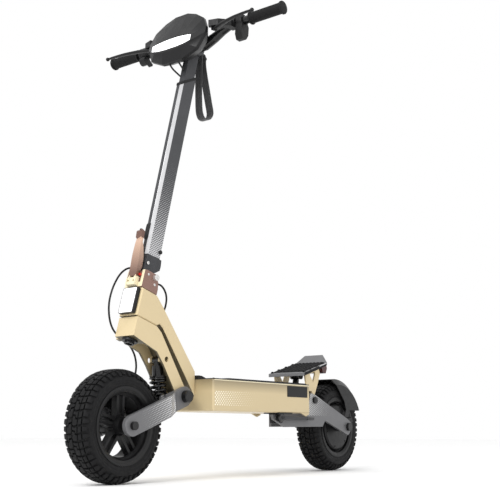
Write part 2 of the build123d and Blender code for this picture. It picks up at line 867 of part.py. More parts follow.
with BuildPart() as throttle_lever:
    with BuildSketch(across(-197, bar_u, bar_grip_z)):
        Circle(bar_end_radius + 6)
    extrude(amount=8.5)
    with BuildSketch(side(-203)):
        with BuildLine():
            Polyline((272, 1203), (300, 1186), (303, 1192), (277, 1211), close=True)
        make_face()
    extrude(amount=14.5)
    with BuildSketch(across(-210, bar_u, bar_grip_z)):
        Circle(bar_end_radius + running_clearance)
    extrude(amount=24, mode=Mode.SUBTRACT)
finished["throttle_lever"] = throttle_lever

# ------------------------------------------------------------------ carry strap and hoses
strap_width, strap_thickness = 24.0, 2.2
with BuildPart() as carry_strap:
    with BuildSketch(side(-6)):
        with BuildLine():
            FilletPolyline(
                (290, 1169), (284, 1140), (286, 1000), (300, 978), (318, 978), (338, 1004), (302, 1135),
                (302, 1162), radius=5, close=True,
            )
        make_face()
        offset(amount=-strap_thickness, mode=Mode.SUBTRACT)
    extrude(amount=strap_width)
    with BuildSketch(peg_base):
        Circle(peg_radius)
    extrude(amount=37, mode=Mode.SUBTRACT)
finished["carry_strap"] = carry_strap

control_routes = [
    [(-14, 184, 1110), (-13, 192, 1100), (-9, 205, 1091), (-4, 219, 1082)],
    [(8, 196, 1113.5), (8, 206, 1107), (6, 216, 1101), (3, 227, 1096)],
]
with BuildPart() as control_cables:
    for route in control_routes:
        add(hose(route).part)
    add(stem_head.part, mode=Mode.SUBTRACT)
    add(cowl.part, mode=Mode.SUBTRACT)
finished["control_cables"] = control_cables

upper_route = [
    (-23.2, 90, 522), (-30, 82, 527), (-36, 66, 526), (-38, 45, 511), (-38, 27, 487), (-38, 13, 458),
    (-38, 6, 428), (-38, 8, 398), (-38, 17, 373), (-35.4, 31, 355.5), (-35.4, 44, 350),
]
finished["brake_hose_upper"] = hose(upper_route)

lower_route = [
    (-35.4, 48, 348.3), (-35.4, 62, 342.4), (-37, 84, 330), (-40, 104, 309), (-44, 115, 283),
    (-47, 114, 258),
    (-50, 99, 235), (-53, 76, 219), (-55, 52, 211), (-55, 40, 208),
]
finished["brake_hose_lower"] = hose(lower_route)

rear_route = [
    (23, 104, 484), (23, 118, 487), (20, 138, 480), (14, 153, 461), (8, 160, 439), (5, 157, 418),
    (5, 148, 404),
]
with BuildPart() as steering_cable:
    add(hose(rear_route).part)
    add(neck.part, mode=Mode.SUBTRACT)
    add(hinge_bracket.part, mode=Mode.SUBTRACT)
finished["steering_cable"] = steering_cable

# ------------------------------------------------------------------ front arm, shock and wheel
arm_outer, arm_inner = 62.0, 50.0
pivot_outer, pivot_inner = 42.0, 33.0
with BuildPart() as front_arm:
    with BuildSketch(side()):
        with Locations((0, axle_height)):
            Circle(24.5)
        with Locations(front_pivot):
            Circle(25)
        make_hull()
    extrude(amount=arm_outer, both=True)
    with BuildSketch(level(80)):
        for hand in (1, -1):
            with BuildLine():
                Polyline(
                    *[
                        (hand * x, u)
                        for x, u in (
                            (arm_inner, -30), (arm_outer, -30), (arm_outer, 132), (pivot_outer, 172),
                            (pivot_outer, 235), (pivot_inner, 235), (pivot_inner, 166), (arm_inner, 132),
                        )
                    ],
                    close=True,
                )
            make_face()
        with Locations((0, 151)):
            Rectangle(100, 20)
    extrude(amount=170, mode=Mode.INTERSECT)
    with BuildSketch(side()):
        with BuildLine():
            Polyline((135, 150), (175, 150), (175, 178), (135, 178), close=True)
        make_face()
        with BuildLine():
            Polyline((135, 191), (175, 191), (175, 220), (135, 220), close=True)
        make_face()
    extrude(amount=pivot_inner - 1, both=True, mode=Mode.SUBTRACT)
    for x in (-17.5, 12):
        with BuildSketch(side(x)):
            with BuildLine():
                Polyline((141, 186), (141, 206), (145, 211), (155, 211), (159, 206), (159, 186), close=True)
            make_face()
        extrude(amount=5.5)
    with BuildSketch(across(-17.5, *front_shock_foot)):
        Circle(4)
    extrude(amount=35)
    with BuildSketch(across(-arm_outer, *front_pivot)):
        Circle(pin_radius + 3 + running_clearance)
    extrude(amount=2 * arm_outer, mode=Mode.SUBTRACT)
    with BuildSketch(across(-arm_outer, 0, axle_height)):
        Circle(axle_radius)
    extrude(amount=2 * arm_outer, mode=Mode.SUBTRACT)
    with BuildSketch(side(-56)):
        with BuildLine():
            Polyline((8, 150), (8, 189), (42, 189), (42, 160), close=True)
        make_face()
    extrude(amount=6)
finished["front_arm"] = front_arm

with BuildPart() as front_pivot_pin:
    with BuildSketch(across(-44, *front_pivot)):
        Circle(pin_radius + 3)
    extrude(amount=88)
    for x in (-58, pivot_outer + 0.4):
        with BuildSketch(across(x, *front_pivot)):
            Circle(15.5)
        extrude(amount=15.6)
    pin_ends = front_pivot_pin.faces().sort_by(Axis.X)
    for end in (pin_ends[0], pin_ends[-1]):
        chamfer(end.edges(), 2.5)
finished["front_pivot_pin"] = front_pivot_pin

shock_rod_radius, shock_body_radius = 6.0, 14.0
spring_coil_radius, spring_wire = 18.5, 6.0


def build_shock(name, foot, top, body_share, spring_radius, body_radius):
    """Body with its eye at the top, rod with its eye at the foot, and a coil spring between."""
    lean, length = shock_plane(foot, top)
    body_length = length * body_share
    base = tilted(*foot, lean)
    with BuildPart() as body:
        with BuildSketch(across(-10, *top)):
            Circle(9)
        extrude(amount=20)
        with BuildSketch(base.offset(length - body_length)):
            Circle(body_radius)
        extrude(amount=body_length - 14)
        with BuildSketch(base.offset(length - 16)):
            Circle(9)
        extrude(amount=12)
        with BuildSketch(base.offset(length - body_length)):
            Circle(spring_radius + spring_wire / 2)
        extrude(amount=-3)
        with BuildSketch(base.offset(length - body_length - 4)):
            Circle(shock_rod_radius + running_clearance)
        extrude(amount=body_length - 8, mode=Mode.SUBTRACT)
        with BuildSketch(across(-12, *top)):
            Circle(pin_radius + running_clearance)
        extrude(amount=24, mode=Mode.SUBTRACT)
    finished[name + "_body"] = body
    with BuildPart() as shaft:
        with BuildSketch(across(-9.5, *foot)):
            Circle(9)
        extrude(amount=19)
        with BuildSketch(base.offset(9)):
            Circle(spring_radius + spring_wire / 2)
        extrude(amount=3)
        with BuildSketch(base.offset(5)):
            Circle(shock_rod_radius)
        extrude(amount=length - body_length + 5)
        with BuildSketch(across(-12, *foot)):
            Circle(4 + open_pivot_clearance)
        extrude(amount=24, mode=Mode.SUBTRACT)
    finished[name + "_shaft"] = shaft
    spring_bottom, spring_top = 12.3, length - body_length - 3.3
    with BuildPart() as spring:
        with BuildSketch(base.offset(spring_bottom)):
            Circle(spring_radius + spring_wire / 2)
            Circle(spring_radius - spring_wire / 2, mode=Mode.SUBTRACT)
        extrude(amount=spring_top - spring_bottom)
    finished[name + "_spring"] = spring


build_shock("front_shock", front_shock_foot, front_shock_top, 0.42, spring_coil_radius, shock_body_radius)

barrel = [
    (37.3, 92.4), (34.3, 92.4), (34.3, 83.8), (24, 83.8), (18, 77), (-18, 77), (-24, 83.8), (-34.3, 83.8),
    (-34.3, 92.4), (-37.3, 92.4), (-37.3, 86), (-34, 79.5), (-26, 78.5), (-20, 72), (20, 72), (26, 78.5),
    (34, 79.5), (37.3, 86),
]
tyre_section = mirrored(
    [
        (22, 133.5), (33, 129.5), (39.8, 119), (39.8, 107), (37.5, 97), (34, 93), (34, 84), (25, 84),
        (28, 96), (32, 108), (31, 119), (20, 125.5),
    ]
)


def build_tyre(name, u):
    with BuildPart() as tyre:
        with BuildSketch(spin(u)):
            with BuildLine():
                Polyline(*tyre_section, close=True)
            make_face()
        revolve(axis=axle_line(u))
    finished[name] = tyre


build_tyre("front_tyre", 0)
build_tyre("rear_tyre", wheelbase)

spoke_pairs = 5
with BuildPart() as front_rim:
    with BuildSketch(spin(0)):
        with BuildLine():
            Polyline(*barrel, close=True)
        make_face()
        with BuildLine():
            Polyline((-42, 0), (32, 0), (32, 20), (18, 24), (-10, 24), (-36, 20), (-42, 20), close=True)
        make_face()
    revolve(axis=axle_line(0))
    with BuildSketch(across(2, 0, axle_height)):
        with PolarLocations(0, spoke_pairs, start_angle=90):
            for offset_v in (-9.5, 9.5):
                with Locations((47, offset_v)):
                    Rectangle(56, 7)
    extrude(amount=17)
    with BuildSketch(across(-60, 0, axle_height)):
        Circle(axle_radius + running_clearance)
    extrude(amount=120, mode=Mode.SUBTRACT)
finished["front_rim"] = front_rim

rotor_radius = 65.0
with BuildPart() as front_rotor:
    with BuildSketch(across(-44, 0, axle_height)):
        Circle(rotor_radius)
        Circle(18, mode=Mode.SUBTRACT)
        with PolarLocations(56, 30):
            Rectangle(12, 3, mode=Mode.SUBTRACT)
        with PolarLocations(34, 5):
            Rectangle(20, 22, mode=Mode.SUBTRACT)
    extrude(amount=-2)
    with BuildSketch(across(-42, 0, axle_height)):
        Circle(22)
        Circle(18, mode=Mode.SUBTRACT)
    extrude(amount=-2)
finished["front_rotor"] = front_rotor

with BuildPart() as front_axle:
    with BuildSketch(across(-66, 0, axle_height)):
        Circle(axle_radius)
    extrude(amount=132)
    for x in (-70.2, arm_outer):
        with BuildSketch(across(x, 0, axle_height)):
            Circle(10)
        extrude(amount=8.2)
    for x in (-arm_inner, 32.6):
        with BuildSketch(across(x, 0, axle_height)):
            Circle(9)
        extrude(amount=arm_inner - 42.6 if x < 0 else arm_inner - 32.6)
finished["front_axle"] = front_axle

with BuildPart() as front_caliper:
    with BuildSketch(side(-50)):
        with BuildLine():
            Polyline((6, 178), (6, 203), (14, 213), (38, 213), (46, 203), (46, 178), close=True)
        make_face()
    extrude(amount=10)
    with BuildSketch(side(-60)):
        with BuildLine():
            Polyline((8, 189.5), (8, 203), (14, 211), (36, 211), (42, 203), (42, 189.5), close=True)
        make_face()
    extrude(amount=10)
    with BuildSketch(side(-47.4)):
        with Locations((0, axle_height)):
            Circle(rotor_radius + 3)
    extrude(amount=4.8, mode=Mode.SUBTRACT)
finished["front_caliper"] = front_caliper

# ------------------------------------------------------------------ rear arm, guard, shock and wheel
rear_axle_radius = 8.0
plate_tail = [
    (796, 133.7), (810, 152), (943, 108), (954, 115), (962, 133.5), (962, 147), (950, 154),
    (935, 160.5), (762, 225), (740, 231), (731, 229),
]
near_plate = [(536, 166), (540, 154), (597, 132), *plate_tail, (708, 161)]
far_plate = [(730, 133.2), *plate_tail]
with BuildPart() as rear_arm:
    for x, outline in ((-plate_outer, far_plate), (plate_inner, near_plate)):
        with BuildSketch(side(x)):
            with BuildLine():
                Polyline(*outline, close=True)
            make_face()
            with Locations(rear_pivot):
                Circle(8 + running_clearance, mode=Mode.SUBTRACT)
            with Locations((wheelbase, axle_height)):
                Circle(rear_axle_radius, mode=Mode.SUBTRACT)
            with Locations((wheelbase + 15, axle_height)):
                Rectangle(30, 2 * rear_axle_radius, mode=Mode.SUBTRACT)
            with Locations((925.5, 137)):
                Circle(3, mode=Mode.SUBTRACT)
        extrude(amount=plate_outer - plate_inner)
    with BuildSketch(side(-plate_inner)):
        with BuildLine():
            Polyline((740, 146), (772, 146), (772, 172), (740, 172), close=True)
        make_face()
    extrude(amount=2 * plate_inner)
    with BuildSketch(across(-plate_outer, *rear_shock_foot)):
        Circle(4)
    extrude(amount=2 * plate_outer)
    for x in (-plate_outer - 6, plate_outer):
        with BuildSketch(across(x, *rear_shock_foot)):
            Circle(10)
        extrude(amount=6)
    for x in (-60, 40):
        with BuildSketch(across(x - 4, *rear_shock_foot)):
            Circle(8)
        extrude(amount=28)
finished["rear_arm"] = rear_arm

guard_thickness = 2.5
guard_half_width = 47.5
guard_section = [
    (-guard_half_width, 131), (-30, guard_radius), (30, guard_radius), (guard_half_width, 131),
    (guard_half_width - guard_thickness, 130), (29, guard_radius - guard_thickness),
    (-29, guard_radius - guard_thickness), (-guard_half_width + guard_thickness, 130),
]
with BuildPart() as rear_fender:
    with BuildSketch(spin(wheelbase)):
        with BuildLine():
            Polyline(*guard_section, close=True)
        make_face()
    revolve(axis=axle_line(wheelbase))
    for x in (-guard_half_width, guard_half_width - guard_thickness):
        with BuildSketch(side(x)):
            with Locations((wheelbase, axle_height)):
                Circle(131.5)
        extrude(amount=guard_thickness)
    with BuildSketch(side()):
        with BuildLine():
            Polyline(
                (924, 300), (921, 268), (944, 244), (973, 213), (982, 186), (966, 160), (966, 146),
                (990, 150), (1003, guard_tip_height), (1100, guard_tip_height), (1100, 300), close=True,
            )
        make_face()
    extrude(amount=60, both=True, mode=Mode.INTERSECT)
    for x in (-plate_inner, guard_half_width - guard_thickness):
        with BuildSketch(side(x)):
            with BuildLine():
                Polyline((966, 160), (966, 146), (988, 150), (982, 164), close=True)
            make_face()
        extrude(amount=plate_inner - guard_half_width + guard_thickness)
    for x in (-plate_inner, plate_inner - 4):
        with BuildSketch(side(x)):
            with BuildLine():
                Polyline((938, 147), (938, 156), (966, 160), (980, 160), (980, 149), (966, 147), close=True)
            make_face()
        extrude(amount=4)
finished["rear_fender"] = rear_fender

build_shock("rear_shock", rear_shock_foot, rear_shock_top, 0.42, 13.5, 9.5)

with BuildPart() as rear_hub_motor:
    with BuildSketch(spin(wheelbase)):
        with BuildLine():
            Polyline(*barrel, close=True)
        make_face()
        with BuildLine():
            Polyline(
                (-36, 0), (36, 0), (38, 20), (36, 66), (32, 70), (20, 73), (-20, 73), (-32, 70), (-36, 66),
                close=True,
            )
        make_face()
    revolve(axis=axle_line(wheelbase))
    with BuildSketch(across(-60, wheelbase, axle_height)):
        Circle(rear_axle_radius + running_clearance)
    extrude(amount=120, mode=Mode.SUBTRACT)
finished["rear_hub_motor"] = rear_hub_motor

with BuildPart() as rear_axle:
    with BuildSketch(across(-82, wheelbase, axle_height)):
        Circle(rear_axle_radius)
    extrude(amount=164)
    for x in (-84.7, plate_outer):
        with BuildSketch(across(x, wheelbase, axle_height)):
            Circle(12.5)
        extrude(amount=8.7)
    for x in (-plate_inner, 38.6):
        with BuildSketch(across(x, wheelbase, axle_height)):
            Circle(13)
        extrude(amount=plate_inner - 38.6)
finished["rear_axle"] = rear_axle

# ------------------------------------------------------------------ write every piece
for label, piece in finished.items():
    piece.part.label = label
    export_step(piece.part, f"parts/{label}.step")
    print(label, len(piece.part.solids()), round(piece.part.volume))
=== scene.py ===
"""Looks for the folding electric kick scooter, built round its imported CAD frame."""
import math

import bpy
from mathutils import Matrix, Vector


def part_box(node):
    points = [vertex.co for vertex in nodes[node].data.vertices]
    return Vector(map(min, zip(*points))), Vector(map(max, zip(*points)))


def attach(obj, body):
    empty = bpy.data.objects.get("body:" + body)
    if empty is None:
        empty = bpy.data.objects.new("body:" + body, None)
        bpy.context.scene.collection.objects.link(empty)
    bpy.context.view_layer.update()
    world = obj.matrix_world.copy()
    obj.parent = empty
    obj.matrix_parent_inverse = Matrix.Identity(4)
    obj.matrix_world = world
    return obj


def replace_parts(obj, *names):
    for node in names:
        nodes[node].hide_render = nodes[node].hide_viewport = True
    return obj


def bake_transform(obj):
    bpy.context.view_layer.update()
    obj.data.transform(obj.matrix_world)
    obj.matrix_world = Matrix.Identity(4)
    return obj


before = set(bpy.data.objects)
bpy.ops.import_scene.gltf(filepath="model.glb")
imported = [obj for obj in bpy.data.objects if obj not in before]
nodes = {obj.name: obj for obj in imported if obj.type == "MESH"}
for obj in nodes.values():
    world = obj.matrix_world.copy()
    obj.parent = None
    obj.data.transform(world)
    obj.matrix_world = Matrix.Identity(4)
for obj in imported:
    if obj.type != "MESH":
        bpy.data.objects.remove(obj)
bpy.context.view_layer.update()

# ------------------------------------------------------------------ the CAD's own coordinates
MM = 0.001
rim_low, rim_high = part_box("front_rim")
FRONT_Y = (rim_low.y + rim_high.y) / 2
STEER_TILT = math.radians(15.55)
MAST_TILT = math.radians(14.1)
COWL_LEAN = math.radians(14.0)
# in millimetres: distance behind the front axle, then height
CROWN_U, CROWN_Z = 58.4, 391.0
COWL_U, COWL_Z = 196, 1183
AXLE_Z = 133.5
WHEELBASE = 944.0
FRONT_PIVOT = (205, 207)
REAR_PIVOT = (752, 211)
REST_U, REST_Z = 715, 292
BAR_U, BAR_Z = 263.6, 1211.2
LEVER_Z = 1189.5
HINGE_S = 117.0  # along the steering axis, above the crown
UP = Vector((0, 0, 1))
LEFT = Vector((1, 0, 0))
SIDES = (("left", 1), ("right", -1))


def place(x, u, z):
    """Millimetres: x, distance behind the front axle, height."""
    return Vector((x * MM, FRONT_Y + u * MM, z * MM))


def steer(x, t, s):
    """Millimetres about the steering axis: x, behind it, along it."""
    return place(
        x,
        CROWN_U + t * math.cos(STEER_TILT) + s * math.sin(STEER_TILT),
        CROWN_Z - t * math.sin(STEER_TILT) + s * math.cos(STEER_TILT),
    )


STEER_AXIS = Vector((0, math.sin(STEER_TILT), math.cos(STEER_TILT)))
CROWN_POINT = steer(0, 0, 0)
MAST_U = CROWN_U + HINGE_S * math.sin(STEER_TILT)
MAST_Z = CROWN_Z + HINGE_S * math.cos(STEER_TILT)


def mast(x, t, s):
    """Millimetres about the mast's own line."""
    return place(
        x,
        MAST_U + t * math.cos(MAST_TILT) + s * math.sin(MAST_TILT),
        MAST_Z - t * math.sin(MAST_TILT) + s * math.cos(MAST_TILT),
    )


MAST_LINE = Vector((0, math.sin(MAST_TILT), math.cos(MAST_TILT)))
MAST_BACK = Vector((0, math.cos(MAST_TILT), -math.sin(MAST_TILT)))


def cowl(x, v, n):
    """Millimetres in the cowl's frame: x, up its face, out of its face."""
    return place(
        x,
        COWL_U + v * math.sin(COWL_LEAN) - n * math.cos(COWL_LEAN),
        COWL_Z + v * math.cos(COWL_LEAN) + n * math.sin(COWL_LEAN),
    )


# the same three frames in the order an outline's sweep wants
def side_map(a, b, depth):
    return place(depth, a, b)


def steer_map(a, b, depth):
    return steer(depth, a, b)


def mast_map(a, b, depth):
    return mast(depth, a, b)


REST_COS, REST_SIN = 0.9634, 0.2679


def rest_point(x, along, height):
    """Millimetres on the footrest: x, back from its front edge, above its top."""
    return place(x, REST_U + along * REST_COS - height * REST_SIN, REST_Z + along * REST_SIN + height * REST_COS)


# ------------------------------------------------------------------ materials
class Nodes:
    """Small helper to lay out one material's nodes."""

    def __init__(self, name):
        self.mat = bpy.data.materials.new(name)
        self.mat.use_nodes = True
        self.tree = self.mat.node_tree
        self.shader = self.tree.nodes["Principled BSDF"]
        self.coord = self.add("ShaderNodeTexCoord")

    def add(self, kind, **values):
        node = self.tree.nodes.new(kind)
        for key, value in values.items():
            setattr(node, key, value)
        return node

    def link(self, a, b):
        self.tree.links.new(a, b)

    def put(self, socket, value):
        """A socket or a plain value into an input."""
        if isinstance(value, bpy.types.NodeSocket):
            self.link(value, socket)
        else:
            socket.default_value = value

    def math(self, operation, a, b=0.0):
        node = self.add("ShaderNodeMath", operation=operation)
        self.put(node.inputs[0], a)
        self.put(node.inputs[1], b)
        return node.outputs[0]

    def dot(self, a, b):
        node = self.add("ShaderNodeVectorMath", operation="DOT_PRODUCT")
        self.put(node.inputs[0], a)
        self.put(node.inputs[1], b)
        return node.outputs["Value"]

    def noise(self, scale, detail=3.0):
        node = self.add("ShaderNodeTexNoise")
        node.inputs["Scale"].default_value = scale
        node.inputs["Detail"].default_value = detail
        node.inputs["Roughness"].default_value = 0.55
        self.link(self.coord.outputs["Object"], node.inputs["Vector"])
        return node.outputs["Fac"]

    def span(self, value, low, high, out_low, out_high, smooth=False):
        node = self.add("ShaderNodeMapRange")
        if smooth:
            node.interpolation_type = "SMOOTHSTEP"
        for index, item in enumerate((value, low, high, out_low, out_high)):
            self.put(node.inputs[index], item)
        return node.outputs[0]

    def mix(self, factor, a, b):
        node = self.add("ShaderNodeMix", data_type="RGBA")
        self.put(node.inputs[0], factor)
        self.put(node.inputs[6], a)
        self.put(node.inputs[7], b)
        return node.outputs[2]

    def bump(self, height, strength, distance):
        node = self.add("ShaderNodeBump")
        node.inputs["Strength"].default_value = strength
        node.inputs["Distance"].default_value = distance
        self.link(height, node.inputs["Height"])
        self.link(node.outputs["Normal"], self.shader.inputs["Normal"])

    def paint(self, colour):
        """A socket that becomes the base colour, kept for the next layer."""
        self.base = colour
        self.link(colour, self.shader.inputs["Base Color"])


def shade(colour, factor):
    return tuple(min(1.0, c * factor) for c in colour[:3]) + (1.0,)


GRAIN_DEPTH = 0.0004
WEAVE_DEPTH = 0.0006
LOWEST_ROUGHNESS = 0.03


def surface(name, colour, rough, metal, mottle, mottle_scale, grain, grain_scale, rough_swing=0.08,
            coat=0.0, sheen=0.0, specular=0.5, grain_detail=2.0):
    """Painted, moulded or rubber surface with uneven colour, uneven gloss and a fine grain."""
    n = Nodes(name)
    patches = n.noise(mottle_scale, 4.0)
    n.paint(n.mix(patches, shade(colour, 1 - mottle), shade(colour, 1 + mottle)))
    smear = n.noise(mottle_scale * 3.1, 5.0)
    n.link(n.span(smear, 0.3, 0.7, max(LOWEST_ROUGHNESS, rough - rough_swing), min(1.0, rough + rough_swing)),
           n.shader.inputs["Roughness"])
    n.shader.inputs["Metallic"].default_value = metal
    n.shader.inputs["Specular IOR Level"].default_value = specular
    n.shader.inputs["Coat Weight"].default_value = coat
    n.shader.inputs["Coat Roughness"].default_value = 0.12
    n.shader.inputs["Sheen Weight"].default_value = sheen
    if grain:
        n.bump(n.noise(grain_scale, grain_detail), grain, GRAIN_DEPTH)
    return n


DOT_START = 0.0004  # metres over which the dots set in
SMALLEST_DOT = 0.02  # as a share of the pitch
FACING = 0.85  # cosine of the widest angle off a side


def dots(n, grid_a, grid_b, fade_axis, fade_from, fade_to, pitch, largest, colour, side=None, limit=None):
    """Printed halftone dots on a grid along two directions, shrinking from fade_from to fade_to.

    side keeps them to faces that look that way; limit is (axis, low, high), in metres.
    """
    position = n.coord.outputs["Object"]
    squares = []
    for axis in (grid_a, grid_b):
        along = n.math("DIVIDE", n.dot(position, axis), pitch)
        cell = n.math("SUBTRACT", n.math("FRACT", n.math("ADD", along, 500.0)), 0.5)
        squares.append(n.math("MULTIPLY", cell, cell))
    distance = n.math("SQRT", n.math("ADD", *squares))
    along = n.dot(position, fade_axis)
    size = n.span(along, fade_from, fade_to, largest, 0.0)
    outside = n.span(n.math("SUBTRACT", distance, size), -0.05, 0.05, 0.0, 1.0, True)
    start = math.copysign(DOT_START, fade_to - fade_from)
    tests = [n.span(along, fade_from, fade_from + start, 0.0, 1.0), n.math("GREATER_THAN", size, SMALLEST_DOT)]
    if limit is not None:
        across = n.dot(position, limit[0])
        tests += [n.math("GREATER_THAN", across, limit[1]), n.math("LESS_THAN", across, limit[2])]
    if side is not None:
        facing = n.dot(n.coord.outputs["Normal"], side)
        tests.append(n.math("GREATER_THAN", n.math("ABSOLUTE", facing), FACING))
    mask = n.math("SUBTRACT", 1.0, outside)
    for test in tests:
        mask = n.math("MULTIPLY", mask, test)
    n.paint(n.mix(mask, n.base, colour))


def fade(n, axis, start, stop, first, last):
    """Paint running from one colour to another along an axis."""
    share = n.span(n.dot(n.coord.outputs["Object"], axis), start, stop, 0.0, 1.0)
    n.paint(n.mix(share, first, last))


GOLD = (0.62, 0.50, 0.295)
GREY = (0.135, 0.135, 0.14)
MAST_GREY = (0.048, 0.049, 0.053)
BLACK = (0.0075, 0.0075, 0.008)
# name, colour, roughness, metal, mottle and its scale, grain and its scale, swing of the roughness
mats = {
    "gold": surface("champagne_paint", GOLD, 0.38, 0.12, 0.035, 9, 0.18, 2600, 0.05, coat=0.2),
    # darker champagne that stands for shade: painted shade on the frame's downward-facing faces
    "gold_painted_shade": surface("champagne_painted_shade", (0.115, 0.096, 0.056), 0.45, 0.1, 0.05, 14, 0.18, 2600, 0.05),
    "cream": surface("cream_paint", (0.76, 0.68, 0.47), 0.34, 0.05, 0.03, 9, 0.15, 2600, 0.05, coat=0.3),
    "collar": surface("collar_grey_paint", shade(MAST_GREY, 0.88), 0.42, 0.2, 0.08, 12, 0.2, 2400,
                      0.06, specular=0.3),
    "mast": surface("mast_grey_paint", MAST_GREY, 0.40, 0.2, 0.08, 12, 0.2, 2400, 0.06, specular=0.35),
    "silver": surface("silver_edge", (0.52, 0.52, 0.53), 0.33, 0.5, 0.05, 30, 0.15, 2400, 0.06),
    "copper": surface("copper_paint", (0.24, 0.135, 0.108), 0.30, 0.45, 0.07, 20, 0.12, 2600, 0.07,
                      coat=0.25),
    # the fold lever's copper; below, its colour is replaced by a painted run from shade to highlight
    "copper_painted_highlight_run": surface("copper_lacquer_painted_highlight", (0.56, 0.33, 0.25), 0.24, 0.3, 0.05, 20, 0.1, 2600,
                             0.05, coat=0.4),
    # darker copper that stands for shade: painted shade on the fold lever's knob
    "copper_painted_shade": surface("copper_knob_painted_shade", (0.15, 0.075, 0.055), 0.28, 0.4, 0.07, 20, 0.1, 2600, 0.05,
                           coat=0.3),
    "black_metal": surface("satin_black_metal", BLACK, 0.38, 0.1, 0.25, 25, 0.2, 2200, 0.08, specular=0.28),
    "black_gloss": surface("gloss_black", shade(BLACK, 0.7), 0.20, 0.0, 0.2, 30, 0.05, 1800, 0.05,
                           coat=0.15, specular=0.35),
    "plastic": surface("grained_black_plastic", BLACK, 0.46, 0.0, 0.2, 40, 0.45, 1500, 0.07, specular=0.28),
    "guard": surface("mudguard_plastic", shade(BLACK, 0.85), 0.42, 0.0, 0.15, 30, 0.3, 1500, 0.07,
                     specular=0.3),
    "cowl": surface("cowl_black", (0.0065, 0.0065, 0.007), 0.38, 0.0, 0.12, 16, 0.3, 1900, 0.06,
                    specular=0.28),
    "rubber": surface("grip_rubber", shade(BLACK, 0.65), 0.62, 0.0, 0.25, 60, 0.6, 1300, 0.08,
                      specular=0.25),
    "pad": surface("foot_pad_rubber", BLACK, 0.70, 0.0, 0.25, 60, 0.6, 1100, 0.08, specular=0.2),
    "tyre": surface("tyre_rubber", (0.006, 0.006, 0.0065), 0.60, 0.0, 0.3, 35, 0.5, 900, 0.12,
                    specular=0.18, grain_detail=4),
    "steel": surface("brushed_steel", (0.30, 0.30, 0.31), 0.30, 0.9, 0.08, 60, 0.12, 2600, 0.08),
    "bolt": surface("zinc_bolt", (0.66, 0.65, 0.64), 0.26, 0.75, 0.1, 120, 0.1, 2600, 0.08),
    "red": surface("red_plastic", (0.42, 0.012, 0.010), 0.28, 0.0, 0.1, 60, 0.1, 1800, 0.05, coat=0.4),
    "rear_lens": surface("dark_red_lens", (0.045, 0.002, 0.0025), 0.16, 0.0, 0.1, 80, 0.1, 800, 0.03,
                         coat=0.3, specular=0.4),
    "battery": surface("battery_wrap", (0.03, 0.08, 0.25), 0.4, 0.0, 0.1, 20, 0.2, 1200),
    "plate": surface("plate_black", shade(BLACK, 0.8), 0.34, 0.0, 0.15, 70, 0.1, 2200, 0.05, specular=0.25),
    "glass": surface("display_glass", shade(BLACK, 0.6), 0.06, 0.0, 0.1, 70, 0.02, 2200, 0.02, coat=0.6),
    "silver_paint": surface("silver_paint", (0.17, 0.17, 0.175), 0.38, 0.35, 0.06, 20, 0.2, 2400, 0.06),
    "bezel": surface("bezel_grey", (0.10, 0.10, 0.105), 0.4, 0.1, 0.06, 20, 0.2, 2400, 0.06),
    "underside": surface("stand_grey", (0.035, 0.035, 0.037), 0.42, 0.2, 0.08, 20, 0.2, 2400, 0.06),
    "front_arm": surface("front_arm_paint", GREY, 0.42, 0.2, 0.05, 12, 0.25, 2400, 0.06),
    "rear_arm": surface("rear_arm_paint", GREY, 0.42, 0.2, 0.05, 12, 0.25, 2400, 0.06),
    # the deck's side is the frame's gold made 7% darker: painted shade on the deck side
    "deck": surface("deck_paint_painted_shade", shade(GOLD, 0.93), 0.38, 0.12, 0.035, 9, 0.18, 2600, 0.05, coat=0.2),
    "mast_dotted": surface("mast_dotted_paint", MAST_GREY, 0.40, 0.2, 0.08, 12, 0.2, 2400, 0.06,
                           specular=0.35),
}
# the fold lever goes from dark copper at its foot to bright copper near its top: painted shade and painted
# highlight
FOLD_LEVER_ENDS = [steer(0, 0, s).dot(STEER_AXIS) for s in (112, 200)]
fade(mats["copper_painted_highlight_run"], STEER_AXIS, *FOLD_LEVER_ENDS, (0.16, 0.085, 0.062, 1), (0.60, 0.40, 0.29, 1))


def light_lens(name, strength):
    white = (1.0, 1.0, 1.0, 1.0)
    n = surface(name, white, 0.12, 0.0, 0.01, 40, 0.08, 900, 0.03, coat=0.4)
    n.shader.inputs["Emission Color"].default_value = white
    n.shader.inputs["Emission Strength"].default_value = strength
    return n


mats["lens"] = light_lens("lamp_lens", 0.75)
mats["strip"] = light_lens("strip_lens", 1.1)


def webbing(name, ribs=150, threads=11):
    """Woven strap: ribs across the band and threads along it."""
    n = surface(name, (0.02, 0.02, 0.021), 0.7, 0.0, 0.2, 90, 0.0, 900, 0.08, sheen=0.25)
    split = n.add("ShaderNodeSeparateXYZ")
    n.link(n.coord.outputs["UV"], split.inputs[0])
    waves = []
    for direction, count in (("Y", ribs), ("X", threads)):
        wave = n.math("SINE", n.math("MULTIPLY", split.outputs[direction], 2 * math.pi * count))
        waves.append(n.math("MULTIPLY", wave, 0.5))
    n.bump(n.math("ADD", *waves), 0.6, WEAVE_DEPTH)
    return n


mats["webbing"] = webbing("strap_webbing")

